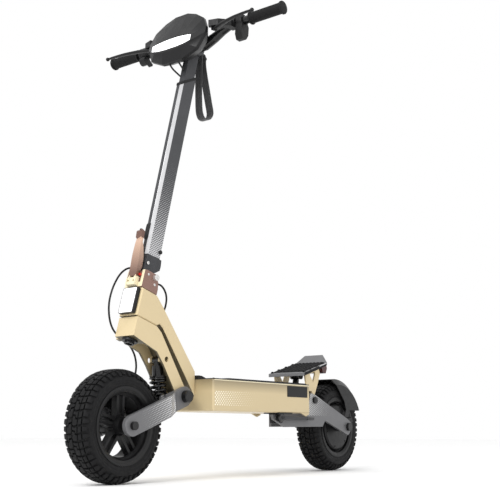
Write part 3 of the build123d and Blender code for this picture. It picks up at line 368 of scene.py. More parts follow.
# dots: up the front arm, down the rear arm, along the deck's side and up the mast
pivot_u, pivot_z = FRONT_PIVOT
front_along = Vector((0, pivot_u, pivot_z - AXLE_Z)).normalized()
front_across = Vector((0, AXLE_Z - pivot_z, pivot_u)).normalized()
dots(mats["front_arm"], front_along, front_across, front_along, place(0, 160, 190).dot(front_along),
     place(0, 20, 142).dot(front_along), 0.0049, 0.42, (0.74, 0.74, 0.74, 1), side=LEFT)
pivot_u, pivot_z = REAR_PIVOT
rear_along = Vector((0, WHEELBASE - pivot_u, AXLE_Z - pivot_z)).normalized()
rear_across = Vector((0, pivot_z - AXLE_Z, WHEELBASE - pivot_u)).normalized()
dots(mats["rear_arm"], rear_along, rear_across, rear_along, place(0, 722, 205).dot(rear_along),
     place(0, 850, 160).dot(rear_along), 0.0052, 0.38, (0.60, 0.60, 0.60, 1), side=LEFT, limit=(UP, 0.166, 0.30))
# the deck side darkens to 45% gold over its top 27.5 mm: painted shade under the lid's overhang
deck = mats["deck"]
deck.base = deck.mix(deck.span(deck.dot(deck.coord.outputs["Object"], UP), 0.222, 0.2495, 0.0, 1.0), deck.base,
                     shade(GOLD, 0.45))
dots(deck, Vector((0, 1, 1)).normalized(), Vector((0, 1, -1)).normalized(), Vector((0, 1, 0)),
     place(0, 262, 0).y, place(0, 460, 0).y, 0.0068, 0.32, (0.93, 0.88, 0.74, 1), side=LEFT,
     limit=(UP, 0.186, 0.222))
dots(mats["mast_dotted"], (MAST_LINE + MAST_BACK).normalized(), (MAST_LINE - MAST_BACK).normalized(), MAST_LINE,
     mast(0, 0, 54).dot(MAST_LINE), mast(0, 0, 340).dot(MAST_LINE), 0.0048, 0.47, (0.50, 0.50, 0.51, 1))


# ------------------------------------------------------------------ mesh helpers
def add_bevel(obj, width, angle):
    bevel = obj.modifiers.new("edge", "BEVEL")
    bevel.width = width
    bevel.segments = 2
    bevel.limit_method = "ANGLE"
    bevel.angle_limit = math.radians(angle)
    return bevel


def piece(name, verts, faces, body, material, angle, bevel=0.0, indices=None, ride=True):
    """A mesh piece in the row frame, riding on a body; edges over angle degrees stay sharp."""
    mesh = bpy.data.meshes.new(name)
    mesh.from_pydata([tuple(v) for v in verts], [], faces)
    for item in material.split():
        mesh.materials.append(mats[item].mat)
    if indices:
        mesh.polygons.foreach_set("material_index", indices)
    mesh.validate(clean_customdata=False)
    mesh.polygons.foreach_set("use_smooth", [True] * len(mesh.polygons))
    mesh.set_sharp_from_angle(angle=math.radians(angle))
    mesh.update()
    obj = bpy.data.objects.new(name, mesh)
    bpy.context.scene.collection.objects.link(obj)
    if bevel:
        add_bevel(obj, bevel, 30)
    if ride:
        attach(obj, body)
    return obj


def frame_of(normal, hint=LEFT):
    """Two directions square to the normal, the first as near the hint as it can be, and the normal."""
    n = Vector(normal).normalized()
    a = hint - n * hint.dot(n)
    if a.length < 1e-4:
        a = Vector((0, 1, 0)) - n * n.y
    a.normalize()
    return a, n.cross(a), n


def around(centre, a, b, radius, turn):
    """A point radius millimetres from the centre, in the plane of a and b."""
    return centre + (a * math.cos(turn) + b * math.sin(turn)) * radius * MM


def lathe(name, centre, axis, profile, body, material, steps, angle=35.0):
    """Revolve (height, radius) pairs in millimetres about an axis; radius 0 closes an end."""
    a, b, n = frame_of(axis, UP)
    verts, faces, rings = [], [], []
    for height, radius in profile:
        level = centre + n * height * MM
        first = len(verts)
        if radius <= 1e-6:
            verts.append(level)
        else:
            verts.extend(around(level, a, b, radius, 2 * math.pi * k / steps) for k in range(steps))
        rings.append(list(range(first, len(verts))))
    for low, high in zip(rings, rings[1:]):
        for k in range(steps):
            j = (k + 1) % steps
            if len(low) == 1 and len(high) > 1:
                faces.append((low[0], high[k], high[j]))
            elif len(high) == 1 and len(low) > 1:
                faces.append((low[k], high[0], low[j]))
            elif len(low) > 1:
                faces.append((low[k], high[k], high[j], low[j]))
    return piece(name, verts, faces, body, material, angle)


BOLT_STEPS = 24
BOLT_HEAD = [(0, 1.0), (0.45, 1.0), (0.8, 0.86), (1.0, 0.62)]
SOCKET_WIDTH, SOCKET_FLOOR = 0.42, 0.35


def bolt(name, centre, axis, radius, height, body, material="bolt"):
    """Button-head screw with a six-sided socket."""
    a, b, n = frame_of(axis)
    verts, faces = [], []
    turns = [2 * math.pi * k / BOLT_STEPS for k in range(BOLT_STEPS)]
    socket = [SOCKET_WIDTH / math.cos((turn + math.pi / 6) % (math.pi / 3) - math.pi / 6) for turn in turns]
    levels = [(rise, [share] * BOLT_STEPS) for rise, share in BOLT_HEAD] + [(1.0, socket), (SOCKET_FLOOR, socket)]
    for rise, shares in levels:
        level = centre + n * height * rise * MM
        verts.extend(around(level, a, b, radius * share, turn) for share, turn in zip(shares, turns))
    for low in range(0, len(verts) - BOLT_STEPS, BOLT_STEPS):
        for k in range(BOLT_STEPS):
            j = (k + 1) % BOLT_STEPS
            faces.append((low + k, low + j, low + BOLT_STEPS + j, low + BOLT_STEPS + k))
    faces.append(tuple(range(len(verts) - BOLT_STEPS, len(verts))))
    faces.append(tuple(reversed(range(BOLT_STEPS))))
    return piece(name, verts, faces, body, material, 30)


def loft(name, rings, body, material, angle, caps=True, bevel=0.0, indices=None, ride=True):
    """Skin over rings of equal point counts; indices gives each side its material."""
    verts = [point for ring in rings for point in ring]
    faces, marks = [], []
    count = len(rings[0])
    for base in range(0, len(verts) - count, count):
        for k in range(count):
            j = (k + 1) % count
            faces.append((base + k, base + j, base + count + j, base + count + k))
            marks.append(indices[k] if indices else 0)
    if caps:
        faces.append(tuple(reversed(range(count))))
        faces.append(tuple(range(len(verts) - count, len(verts))))
        marks.extend([0, 0])
    return piece(name, verts, faces, body, material, angle, bevel, marks if indices else None, ride)


def route_line(points):
    """Smooth line through the space between points, from a spline with the points as control points."""
    curve = bpy.data.curves.new("route", "CURVE")
    curve.dimensions = "3D"
    curve.resolution_u = 14
    spline = curve.splines.new("NURBS")
    spline.points.add(len(points) - 1)
    for slot_point, point in zip(spline.points, points):
        slot_point.co = (*point, 1)
    spline.order_u = 3
    spline.use_endpoint_u = True
    holder = bpy.data.objects.new("route", curve)
    bpy.context.scene.collection.objects.link(holder)
    line = [v.co.copy() for v in bpy.data.meshes.new_from_object(holder).vertices]
    bpy.data.objects.remove(holder)
    return line


def tube(name, line, radius, body, material, sides=12, ride=True):
    """Round tube along a line of points; parallel-transported rings."""
    rings = []
    tangent = (line[1] - line[0]).normalized()
    a, b, _ = frame_of(tangent)
    for index, point in enumerate(line):
        ahead = line[min(index + 1, len(line) - 1)]
        behind = line[max(index - 1, 0)]
        direction = (ahead - behind).normalized()
        turn = tangent.rotation_difference(direction)
        a, b, tangent = turn @ a, turn @ b, direction
        rings.append([around(point, a, b, radius, 2 * math.pi * k / sides) for k in range(sides)])
    return loft(name, rings, body, material, 50, ride=ride)


def prism(name, outline, low, high, body, slot, material, bevel, to_world):
    """Outline (two coordinates) swept between two depths by a function to_world(a, b, depth)."""
    bottom = [to_world(a, b, low) for a, b in outline]
    top = [to_world(a, b, high) for a, b in outline]
    count = len(outline)
    faces = [tuple(reversed(range(count))), tuple(range(count, 2 * count))]
    for k in range(count):
        j = (k + 1) % count
        faces.append((k, j, count + j, count + k))
    return piece(name, bottom + top, faces, body, material, 30, bevel)


def catmull(p0, p1, p2, p3, t):
    """Point at share t between p1 and p2 of a smooth line through four points."""
    return 0.5 * (2 * p1 + (p2 - p0) * t + (2 * p0 - 5 * p1 + 4 * p2 - p3) * t * t
                  + (3 * p1 - p0 - 3 * p2 + p3) * t ** 3)


def smooth_loop(points, steps):
    """Closed smooth line through points."""
    points = [Vector(point) for point in points]
    count = len(points)
    return [catmull(points[i - 1], points[i], points[(i + 1) % count], points[(i + 2) % count], k / steps)
            for i in range(count) for k in range(steps)]


def rounded(width, height, radius, steps, centre):
    """Outline of a rectangle with round corners."""
    points = []
    for cx, cy, start in ((1, 1, 0), (-1, 1, 90), (-1, -1, 180), (1, -1, 270)):
        for k in range(steps + 1):
            turn = math.radians(start + 90 * k / steps)
            points.append((
                centre[0] + cx * (width / 2 - radius) + radius * math.cos(turn),
                centre[1] + cy * (height / 2 - radius) + radius * math.sin(turn),
            ))
    return points


WELD_REACH = 0.00002


def edge_soften(node, width):
    """A small round on a CAD node's hard edges."""
    obj = nodes[node]
    weld = obj.modifiers.new("weld", "WELD")
    weld.merge_threshold = WELD_REACH
    flat = obj.modifiers.new("flat", "DECIMATE")
    flat.decimate_type = "DISSOLVE"
    flat.angle_limit = math.radians(0.6)
    add_bevel(obj, width, 32).harden_normals = True


# ------------------------------------------------------------------ CAD nodes that keep their shape
NODE_PAINTS = {
    "gold": "neck fork footrest_brackets",
    "deck": "deck_shell",
    "black_metal": (
        "deck_lid rear_pivot_block steerer front_caliper front_rim rear_hub_motor brake_lever_left "
        "brake_lever_right"
    ),
    "rubber": "deck_mat grips",
    "plastic": (
        "charge_port_cover headlamp_housing display lever_perches switch_pod throttle_pod "
        "throttle_lever control_cables brake_hose_upper brake_hose_lower steering_cable"
    ),
    "battery": "battery_pack",
    "silver_paint": "motor_controller footrest_platform",
    "rear_lens": "tail_light",
    "steel": "headset_bearings front_rotor",
    "lens": "headlamp_lens",
    "copper": "hinge_bracket",
    "bolt": "hinge_pin",
    "cream": "latch_base",
    "black_gloss": (
        "front_pivot_pin handlebar front_axle front_shock_body front_shock_shaft rear_axle "
        "rear_shock_body rear_shock_shaft front_shock_spring rear_shock_spring"
    ),
    "red": "fold_catch mode_button",
    "copper_painted_highlight_run": "fold_lever",
    "collar": "stem_collar",
    "mast": "stem_tube stem_head",
    "cowl": "cowl",
    "strip": "cowl_light",
    "front_arm": "front_arm",
    "rear_arm": "rear_arm",
    "guard": "rear_fender",
    "underside": "kickstand",
    "webbing": "carry_strap",
    "tyre": "front_tyre rear_tyre",
}
for material, names in NODE_PAINTS.items():
    for node in names.split():
        nodes[node].data.materials.clear()
        nodes[node].data.materials.append(mats[material].mat)
for node, width in (
    ("neck", 0.0012), ("fork", 0.0012), ("deck_shell", 0.001), ("footrest_platform", 0.0012),
    ("footrest_brackets", 0.0008), ("front_arm", 0.0014), ("rear_arm", 0.0009), ("hinge_bracket", 0.001),
    ("latch_base", 0.0012), ("stem_collar", 0.0012), ("stem_head", 0.001), ("headlamp_housing", 0.0008),
    ("switch_pod", 0.0015), ("display", 0.001), ("lever_perches", 0.0012), ("front_caliper", 0.001),
    ("cowl", 0.0009), ("rear_fender", 0.0005), ("throttle_lever", 0.001), ("kickstand", 0.0012),
):
    edge_soften(node, width)


def repaint(node, material, test):
    """A second paint on the faces of a CAD node that pass a test of (normal, centre)."""
    mesh = nodes[node].data
    mesh.materials.append(mats[material].mat)
    for face in mesh.polygons:
        if test(face.normal, face.center):
            face.material_index = len(mesh.materials) - 1


def underneath(normal, centre):
    return normal.z < -0.25 and abs(normal.x) < 0.3


# faces of the neck and fork that look downward get the darker champagne: painted shade
repaint("neck", "gold_painted_shade", underneath)
repaint("fork", "gold_painted_shade", underneath)
repaint("footrest_platform", "pad", lambda normal, centre: abs(normal.x) > 0.5)
KNOB_START, FOOT_END = 0.2035, 0.1005
# the knob at the lever's top is painted in the darker copper: painted shade
repaint("fold_lever", "copper_painted_shade", lambda normal, centre: (centre - CROWN_POINT).dot(STEER_AXIS) > KNOB_START)
repaint("fold_lever", "cream", lambda normal, centre: (centre - CROWN_POINT).dot(STEER_AXIS) < FOOT_END)


# ------------------------------------------------------------------ tyres
LINE_STEP = 1.2


def profile_points(controls):
    """Evenly spaced points of a smooth line through (half-width, radius) controls."""
    controls = [Vector(point) for point in controls]
    ends = [controls[0]] + controls + [controls[-1]]
    line = [catmull(*ends[i:i + 4], k / 24) for i in range(len(controls) - 1) for k in range(24)]
    line.append(controls[-1])
    out, travelled, wanted = [line[0]], 0.0, LINE_STEP
    for before, after in zip(line, line[1:]):
        length = (after - before).length
        while travelled + length >= wanted and length > 0:
            out.append(before.lerp(after, (wanted - travelled) / length))
            wanted += LINE_STEP
        travelled += length
    return out


TREAD_LINE = profile_points([(0, 133.5), (10, 133.4), (19, 132.7), (27, 130.6), (33.5, 126.6), (37.8, 120.5),
                             (39.4, 113), (39.0, 105.5), (37.8, 99)])
WALL_START = 30  # steps along the line


def tread(q, depth):
    """Point of the tyre's outer line at q millimetres from the middle, sunk by depth."""
    sign = 1 if q >= 0 else -1
    position = min(abs(q) / LINE_STEP, len(TREAD_LINE) - 1.001)
    k = int(position)
    here = TREAD_LINE[k].lerp(TREAD_LINE[k + 1], position - k)
    along = (TREAD_LINE[k + 1] - TREAD_LINE[k]).normalized()
    inward = Vector((along.y, -along.x))
    if inward.y > 0:
        inward = -inward
    if k > WALL_START:
        inward = Vector((-abs(along.y), -abs(along.x) * 0.3)).normalized()
    there = here + inward * depth
    return sign * there.x, there.y


REPEATS = 24
PITCH = 2 * math.pi / REPEATS
ARC = PITCH * 133  # millimetres of tread in a pitch
# outlines of (q, share of a pitch)
BLOCKS = [
    [(1.3, 0.05), (8.5, 0.00), (16, 0.06), (16, 0.38), (10, 0.43), (10, 0.58), (1.3, 0.64)],
    [(11.8, 0.52), (16, 0.48), (16, 0.92), (9, 0.88), (1.3, 0.93), (1.3, 0.74), (11.8, 0.68)],
    [(18.2, 0.02), (27.5, 0.09), (27.5, 0.46), (18.2, 0.39)],
    [(18.2, 0.50), (27.5, 0.57), (27.5, 0.95), (18.2, 0.90)],
    [(29.7, 0.12), (39, 0.16), (47.5, 0.20), (47.5, 0.42), (39, 0.46), (29.7, 0.44)],
    [(29.7, 0.60), (39, 0.60), (43, 0.62), (43, 0.90), (39, 0.94), (29.7, 0.96)],
]
MIRROR_SHIFT = 0.5
TREAD_DEPTH = 4.6
BLOCK_LEVELS = ((TREAD_DEPTH + 0.6, -0.5), (0.7, 0.25), (0.12, 0.75), (0.0, 1.6))  # depth, inset
SIDE_WALL = [(38.4, 108.5), (38.5, 107.2), (37.9, 106.2), (37.7, 102), (37.9, 100.8), (37.3, 99.8), (36.3, 96.4),
             (35.9, 94.6), (36.2, 93.4), (35.4, 92.7), (34.0, 92.6), (34, 86)]
TYRE_STEPS = 144


def wheel_point(x, radius, turn, u):
    """A point about the axle u millimetres behind the front one, turned from the top."""
    return place(x, u + radius * math.sin(turn), AXLE_Z + radius * math.cos(turn))


def dense_outline(points):
    """The outline with points no further apart than about 4.5 mm."""
    dense = []
    for index, (q, share) in enumerate(points):
        q2, share2 = points[(index + 1) % len(points)]
        count = max(1, round(math.hypot(q2 - q, (share2 - share) * ARC) / 4.5))
        dense += [(q + (q2 - q) * j / count, share + (share2 - share) * j / count) for j in range(count)]
    return dense


def make_tyre(name, node, body, u):
    verts, faces = [], []

    # carcass: tread floor, shoulder, side wall with two raised lines, bead
    half = [tread(q, TREAD_DEPTH) for q in (0, 6, 12, 18, 23, 28, 33, 38, 43)]
    half += [tread(47, 3.4), tread(49.5, 1.6)] + SIDE_WALL
    outline = [(-x, r) for x, r in reversed(half[1:])] + half
    width = len(outline)
    for k in range(TYRE_STEPS):
        verts.extend(wheel_point(x, r, 2 * math.pi * k / TYRE_STEPS, u) for x, r in outline)
        for j in range(width - 1):
            a = k * width + j
            b = ((k + 1) % TYRE_STEPS) * width + j
            faces.append((a, a + 1, b + 1, b))

    def block(points, shift, side):
        """One block, all round one side of the tyre."""
        dense = dense_outline(points)
        size = len(dense)
        centre_q = sum(q for q, share in dense) / size
        centre_s = sum(share for q, share in dense) / size
        for repeat in range(REPEATS):
            first = len(verts)
            for depth, inset in BLOCK_LEVELS:
                for q, share in dense:
                    dq, ds = centre_q - q, (centre_s - share) * ARC
                    reach = math.hypot(dq, ds) or 1
                    x, r = tread(q + dq / reach * inset, depth)
                    turn = (repeat + share + ds / reach * inset / ARC + shift) * PITCH
                    verts.append(wheel_point(side * x, r, turn, u))
            top = len(verts)
            x, r = tread(centre_q, 0.0)
            verts.append(wheel_point(side * x, r, (repeat + centre_s + shift) * PITCH, u))
            for low in range(first, top, size):
                for j in range(size):
                    i = (j + 1) % size
                    face = (low + j, low + i, low + size + i, low + size + j)
                    if low + size == top:
                        face = (low + j, low + i, top)
                    faces.append(face if side > 0 else face[::-1])

    for points in BLOCKS:
        block(points, 0.0, 1)
        block(points, MIRROR_SHIFT, -1)
    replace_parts(piece(name, verts, faces, body, "tyre", 32), node)


make_tyre("front_tyre_tread", "front_tyre", "front_wheel", 0.0)
make_tyre("rear_tyre_tread", "rear_tyre", "rear_wheel", WHEELBASE)


# ------------------------------------------------------------------ coil springs
SEAT_SHARE, SEAT_GAP = 0.58, 3.3  # the upper seat, as a share of the shock's length less a gap
COIL_LOW = 12.3  # the lower seat, above the lower eye


def coil(name, node, foot, top, radius, wire, turns, upper):
    """Helix above the lower eye of a shock, flattened at both ends."""
    base = place(0, *foot)
    a, b, n = frame_of(place(0, *top) - base)
    high = math.dist(foot, top) * SEAT_SHARE - SEAT_GAP
    line = []
    steps = int(turns * 28)
    for k in range(steps + 1):
        t = k / steps
        ramp = min(1.0, max(0.0, (t * turns - 0.7) / (turns - 1.4)))
        height = COIL_LOW + wire + (high - COIL_LOW - 2 * wire) * ramp
        line.append(around(base + n * height * MM, a, b, radius, 2 * math.pi * turns * t))
    obj = tube(name, line, wire, upper, "black_gloss", 12, ride=False)
    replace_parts(obj, node)
    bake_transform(obj)


coil("front_coil", "front_shock_spring", (150, 203), (143.6, 297.3), 18.6, 3.2, 4.2,
     "front_shock_body")
coil("rear_coil", "rear_shock_spring", REAR_PIVOT, (770, 287), 13.6, 2.6, 4.6,
     "rear_shock_body")


# ------------------------------------------------------------------ mast tube with bright edges and a slanted band
SECTION = [(5.5, -21), (13, -14), (21, 20), (16, 25), (-16, 25), (-21, 20), (-13, -14), (-5.5, -21)]


def mast_rings(grow, *ends):
    """The section, grown, at slanted ends given as (front, rear) heights along the mast."""
    rings = []
    for front, rear in ends:
        ring = []
        for x, t in SECTION:
            reach = 1 + grow / math.hypot(x, t - 2)
            ring.append(mast(x * reach, (t - 2) * reach + 2, front + (rear - front) * (t + 23) / 50))
        rings.append(ring)
    return rings


MAST_FOOT, MAST_TOP = (53.0, 53.0), (566.0, 612.0)
mast_tube = loft("mast_tube", mast_rings(0.0, MAST_FOOT, MAST_TOP), "stem",
                 "mast_dotted silver mast", 20, bevel=0.0006, indices=[1, 0, 2, 2, 2, 0, 1, 2])
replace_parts(mast_tube, "stem_tube")
loft("mast_band", mast_rings(1.4, (557.0, 603.0), MAST_TOP), "stem", "plastic", 20, bevel=0.0008)

# ------------------------------------------------------------------ cables and hoses
HOSE_RADIUS = 2.5
upper_hose = [(-23.2, 90, 522), (-30, 82, 527), (-36, 66, 526), (-38, 45, 511), (-38, 27, 487), (-38, 13, 458),
              (-38, 6, 428), (-38, 8, 398), (-38, 17, 373), (-35.4, 31, 355.5), (-35.4, 44, 350)]
lower_hose = [(-35.4, 48, 348.3), (-35.4, 62, 342.4), (-37, 84, 330), (-40, 104, 309), (-44, 115, 283),
              (-47, 114, 258), (-50, 99, 235), (-53, 76, 219), (-55, 52, 211), (-55, 40, 208)]
loom = [(23, 108, 484), (27, 116, 485), (29, 130, 477), (28.5, 143, 459), (19, 152, 437), (8, 154, 418),
        (5, 148, 404)]
bar_cables = [
    [(-14, 184, 1110), (-13, 192, 1100), (-9, 205, 1091), (-4, 219, 1082)],
    [(8, 196, 1113.5), (8, 206, 1107), (6, 216, 1101), (3, 227, 1096)],
]


def hose(name, route, body, ride=True):
    line = route_line([place(*point) for point in route])
    return tube(name, line, HOSE_RADIUS, body, "plastic", 12, ride)


def bent_hose(name, node, route, first):
    """A hose along the route in place of a CAD node, baked into world coordinates and riding on no body."""
    obj = hose(name, route, first, ride=False)
    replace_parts(obj, node)
    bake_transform(obj)


bent_hose("upper_hose", "brake_hose_upper", upper_hose, "fork")
bent_hose("lower_hose", "brake_hose_lower", lower_hose, "fork")
bent_hose("steering_loom", "steering_cable", loom, "fork")
bar_hoses = [hose("bar_cable_%d" % (index + 1), route, "stem") for index, route in enumerate(bar_cables)]
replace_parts(bar_hoses[0], "control_cables")


# ------------------------------------------------------------------ grips
def make_grip(name, hand):
    profile = [(0, 11.3), (0, 17.4), (1.0, 18.0), (3.2, 18.0), (4.2, 17.2), (4.4, 15.3)]
    for k in range(34):
        at = 6 + k * 2.75
        profile += [(at, 15.25), (at + 1.9, 15.25), (at + 2.1, 14.8), (at + 2.6, 14.8)]
    profile += [(100.8, 15.3), (101.2, 17.6), (102.2, 18.1), (105.6, 18.1), (106.8, 17.2), (107.3, 15.4),
                (107.3, 0)]
    return lathe(name, place(hand * 206, BAR_U, BAR_Z), LEFT * hand, profile, "stem", "rubber",
                 56, 40)


grips = [make_grip("grip_" + word, hand) for word, hand in SIDES]
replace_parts(grips[0], "grips")

# ------------------------------------------------------------------ carry strap
strap_line = smooth_loop([
    (288.5, 1164), (285.4, 1140), (284.6, 1090), (285.6, 1040), (287.8, 1003), (293.0, 987.0), (301.0, 980.0),
    (313.5, 979.6), (325.0, 984.5), (334.0, 997.0), (335.6, 1010), (328.4, 1035), (317.2, 1075), (307.4, 1110),
    (301.6, 1137), (300.4, 1160), (295.6, 1166.8),
], 6)
# the webbing's section: x, half thickness
STRAP_TOP = [(-6, 1.0), (-3, 1.15), (0, 1.15), (6, 1.15), (12, 1.15), (15, 1.15), (18, 1.0)]
STRAP_SECTION = STRAP_TOP + [(x, -depth) for x, depth in reversed(STRAP_TOP)]
verts, faces, spans = [], [], []
count, width = len(strap_line), len(STRAP_SECTION)
lengths = [0.0]
for index in range(count):
    lengths.append(lengths[-1] + (strap_line[(index + 1) % count] - strap_line[index]).length)
for index, point in enumerate(strap_line):
    ahead = (index + 1) % count
    along = (strap_line[ahead] - strap_line[index - 1]).normalized()
    for x, depth in STRAP_SECTION:
        verts.append(place(x, point.x + along.y * depth, point.y - along.x * depth))
    for k in range(width):
        j = (k + 1) % width
        faces.append((index * width + k, index * width + j, ahead * width + j, ahead * width + k))
        near, far = lengths[index], lengths[index + 1]
        spans.append([(k, near), (k + 1, near), (k + 1, far), (k, far)])
strap = piece("strap_band", verts, faces, "stem", "webbing", 50)
uv = strap.data.uv_layers.new(name="weave")
for face, corners in zip(strap.data.polygons, spans):
    for loop, (across, along) in zip(face.loop_indices, corners):
        uv.data[loop].uv = (across / width, along / lengths[-1])
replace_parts(strap, "carry_strap")
lathe("strap_peg_cap", place(6, 308.6, 1161.4), Vector((0, 1, 0.12)),
      [(0, 0), (0, 5.4), (1.2, 6.2), (3.4, 6.2), (4.4, 5.2), (4.6, 0)], "stem", "black_metal", 28)

# ------------------------------------------------------------------ brake levers
# x, distance behind the front axle, half width, half height
LEVER_STATIONS = [
    (108.5, 215.6, 2.6, 3.2), (112, 217.6, 7.0, 4.2), (120, 219.0, 8.6, 4.4), (129, 216.0, 8.6, 4.4),
    (140, 211.2, 7.9, 4.3), (155, 205.2, 6.9, 4.2), (175, 199.8, 6.0, 4.0), (200, 194.4, 5.1, 3.7),
    (225, 191.6, 4.4, 3.4), (245, 190.3, 3.9, 3.2), (258, 190.0, 3.2, 2.9),
]
BALL_X, BALL_U, BALL_RADIUS = 264, 190.0, 5.6


def squared(value):
    """Rounds a circle towards a square."""
    return math.copysign(abs(value) ** 0.7, value)


def brake_lever(name, node, hand):
    rings = []
    for x, u, wide, tall in LEVER_STATIONS:
        turns = [2 * math.pi * k / 20 for k in range(20)]
        ring = [place(hand * x, u + wide * squared(math.cos(turn)), LEVER_Z + tall * squared(math.sin(turn)))
                for turn in turns]
        rings.append(ring[::hand])
    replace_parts(loft(name, rings, node, "black_metal", 45), node)
    ball = [(BALL_X - BALL_RADIUS * math.cos(math.pi * k / 12), BALL_RADIUS * math.sin(math.pi * k / 12))
            for k in range(13)]
    lathe(name + "_ball", place(0, BALL_U, LEVER_Z), LEFT * hand, ball, node, "black_metal", 28, 60)


for word, hand in SIDES:
    brake_lever("lever_blade_" + word, "brake_lever_" + word, hand)
for word, hand in SIDES:
    bolt("perch_bolt_" + word, place(hand * 120, 219, 1202.0), UP, 4.2, 2.4, "stem")
    bolt("perch_clamp_" + word, place(hand * 150, BAR_U, 1227.2), UP, 3.2, 2.0, "stem")

# ------------------------------------------------------------------ headlamp lens and fold parts
LAMP_MIDDLE = (0, 37.75)
LAMP_BACK, LAMP_FACE = -34.8, -37.3
lens = prism("lamp_window", rounded(43.6, 64.0, 2.2, 4, LAMP_MIDDLE), -37.2, -34.6, "frame", "lamp_white", "lens",
             0.0008, lambda a, b, depth: steer(a, depth, b))
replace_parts(lens, "headlamp_lens")
outer, inner = rounded(46.4, 66.8, 3.2, 4, LAMP_MIDDLE), rounded(43.8, 64.2, 2.2, 4, LAMP_MIDDLE)
bezel = [[steer(a, depth, b) for a, b in outline] for outline, depth in (
    (outer, LAMP_BACK), (outer, LAMP_FACE), (inner, LAMP_FACE), (inner, LAMP_BACK), (outer, LAMP_BACK))]
loft("lamp_bezel", bezel, "frame", "bezel", 30, caps=False)

FOLD_FACE = [(-29.0, 75.6), (-29.9, 75.6), (-29.9, 120.4), (-29.0, 120.8)]
FOLD_FACE_LOW = FOLD_FACE[:2] + [(-29.9, 88), (-29.0, 88)]
LATCH_SIDE = [(-29.9, 76), (-42.6, 77.5), (-44, 81), (-44, 97), (-41, 100), (-29.9, 100.5)]
for name, outline, low, high, bevel in (
    ("fold_face_left", FOLD_FACE, 21.2, 28.9, 0.0), ("fold_face_right", FOLD_FACE, -28.9, -21.2, 0.0),
    ("fold_face_low", FOLD_FACE_LOW, -21.0, 21.0, 0.0),
    ("latch_block", LATCH_SIDE, 13.1, 15.5, 0.0006), ("latch_block_right", LATCH_SIDE, -15.5, -13.1, 0.0006),
):
    prism(name, outline, low, high, "fork", "cream", "cream", bevel, steer_map)
lathe("lever_button", steer(0, -46, 226.8), STEER_AXIS, [(0, 0), (0, 3.8), (1.6, 3.8), (2.4, 3.0), (2.6, 0)],
      "fold_lever", "plastic", 28)
for word, hand in SIDES:
    bolt("hinge_screw_high_" + word, steer(hand * 29, -15, 113), LEFT * hand, 3.4, 2.2, "fork")
    bolt("hinge_screw_low_" + word, steer(hand * 29, 13, 96), LEFT * hand, 3.6, 2.2, "fork")
    lathe("hinge_cap_" + word, steer(hand * 35, 10, 114), LEFT * hand,
          [(0, 7.9), (1.2, 7.9), (2.0, 7.2), (2.4, 5.6), (2.4, 4.2), (1.6, 3.6), (1.6, 0)], "fork",
          "bolt", 36)
    bolt("collar_screw_" + word, steer(hand * 21.6, -18, 144), LEFT * hand, 4.4, 2.4, "stem")
lathe("mast_knob", mast(19.5, 16.0, 70), LEFT,
      [(0, 0), (0, 3.4), (2.2, 3.4), (2.4, 5.2), (5.2, 5.4), (6.8, 4.2), (7.2, 0)], "stem",
      "plastic", 28)
prism("lever_rest", [(-20.8, 94), (-23.0, 97), (-24.0, 108), (-24.0, 128), (-23.0, 137), (-20.8, 140)], -6.5, 6.5,
      "stem", "black_plastic", "plastic", 0.0008, mast_map)

# ------------------------------------------------------------------ footrest pad, trims, plate and deck fittings
prism("foot_pad", [(-57, 14), (57, 14), (54.5, 136), (-54.5, 136)], 0.0, 2.4, "frame", "rubber_black", "pad",
      0.0008, rest_point)
STUD_LEVELS = ((2.2, 5.2), (3.6, 4.6), (4.3, 3.4))  # height, reach
verts, faces = [], []
for row in range(9):
    for column in range(8):
        x, along = -47.25 + column * 13.5, 22 + row * 13.4
        base = len(verts)
        for height, reach in STUD_LEVELS:
            for k in range(6):
                turn = math.radians(60 * k + 30)
                verts.append(rest_point(x + reach * math.cos(turn), along + reach * math.sin(turn), height))
        for low in (base, base + 6):
            for k in range(6):
                j = (k + 1) % 6
                faces.append((low + k, low + j, low + 6 + j, low + 6 + k))
        faces.append(tuple(range(base + 12, base + 18)))
piece("foot_pad_studs", verts, faces, "frame", "pad", 40)
PAD_SLOPE, REST_SLOPE = 0.022, 0.0513  # the sides draw in towards the back
for hand in (-1, 1):
    for along in (10, 45, 84, 122):
        bolt("pad_stud_%d_%d" % (hand > 0, along), rest_point(hand * (58.5 - PAD_SLOPE * along), along, 0),
             Vector((0, -REST_SIN, REST_COS)), 4.6, 4.0, "frame", "pad")
for word, hand in SIDES:
    prism("rest_trim_" + word, [(0, 91), (0, 134), (-2.6, 137.5), (-2.6, 91)], 0.2, 1.3, "frame", "silver",
          "silver", 0.0, lambda a, b, depth: rest_point(hand * (67.3 - REST_SLOPE * b + depth), b, a))
    lathe("arm_cap_" + word, place(hand * 82, *REAR_PIVOT), LEFT * hand,
          [(-6, 10.4), (-0.6, 10.4), (0.8, 9.4), (1.6, 7.6), (1.6, 4), (0.6, 3.4), (0.6, 0)],
          "rear_arm", "black_gloss", 36)
prism("lamp_trim", [(857.5, 323.2), (868.6, 326.6), (869.4, 324.2), (866.0, 323.6)], -47, 47, "frame", "silver",
      "silver", 0.0, side_map)
TRIM_LOW, TRIM_HIGH = 91.9, 92.7
prism("rating_plate", rounded(103, 31, 1.5, 3, (637.5, 231.5)), TRIM_LOW, TRIM_HIGH, "frame", "black_plastic",
      "plate", 0.0003, side_map)
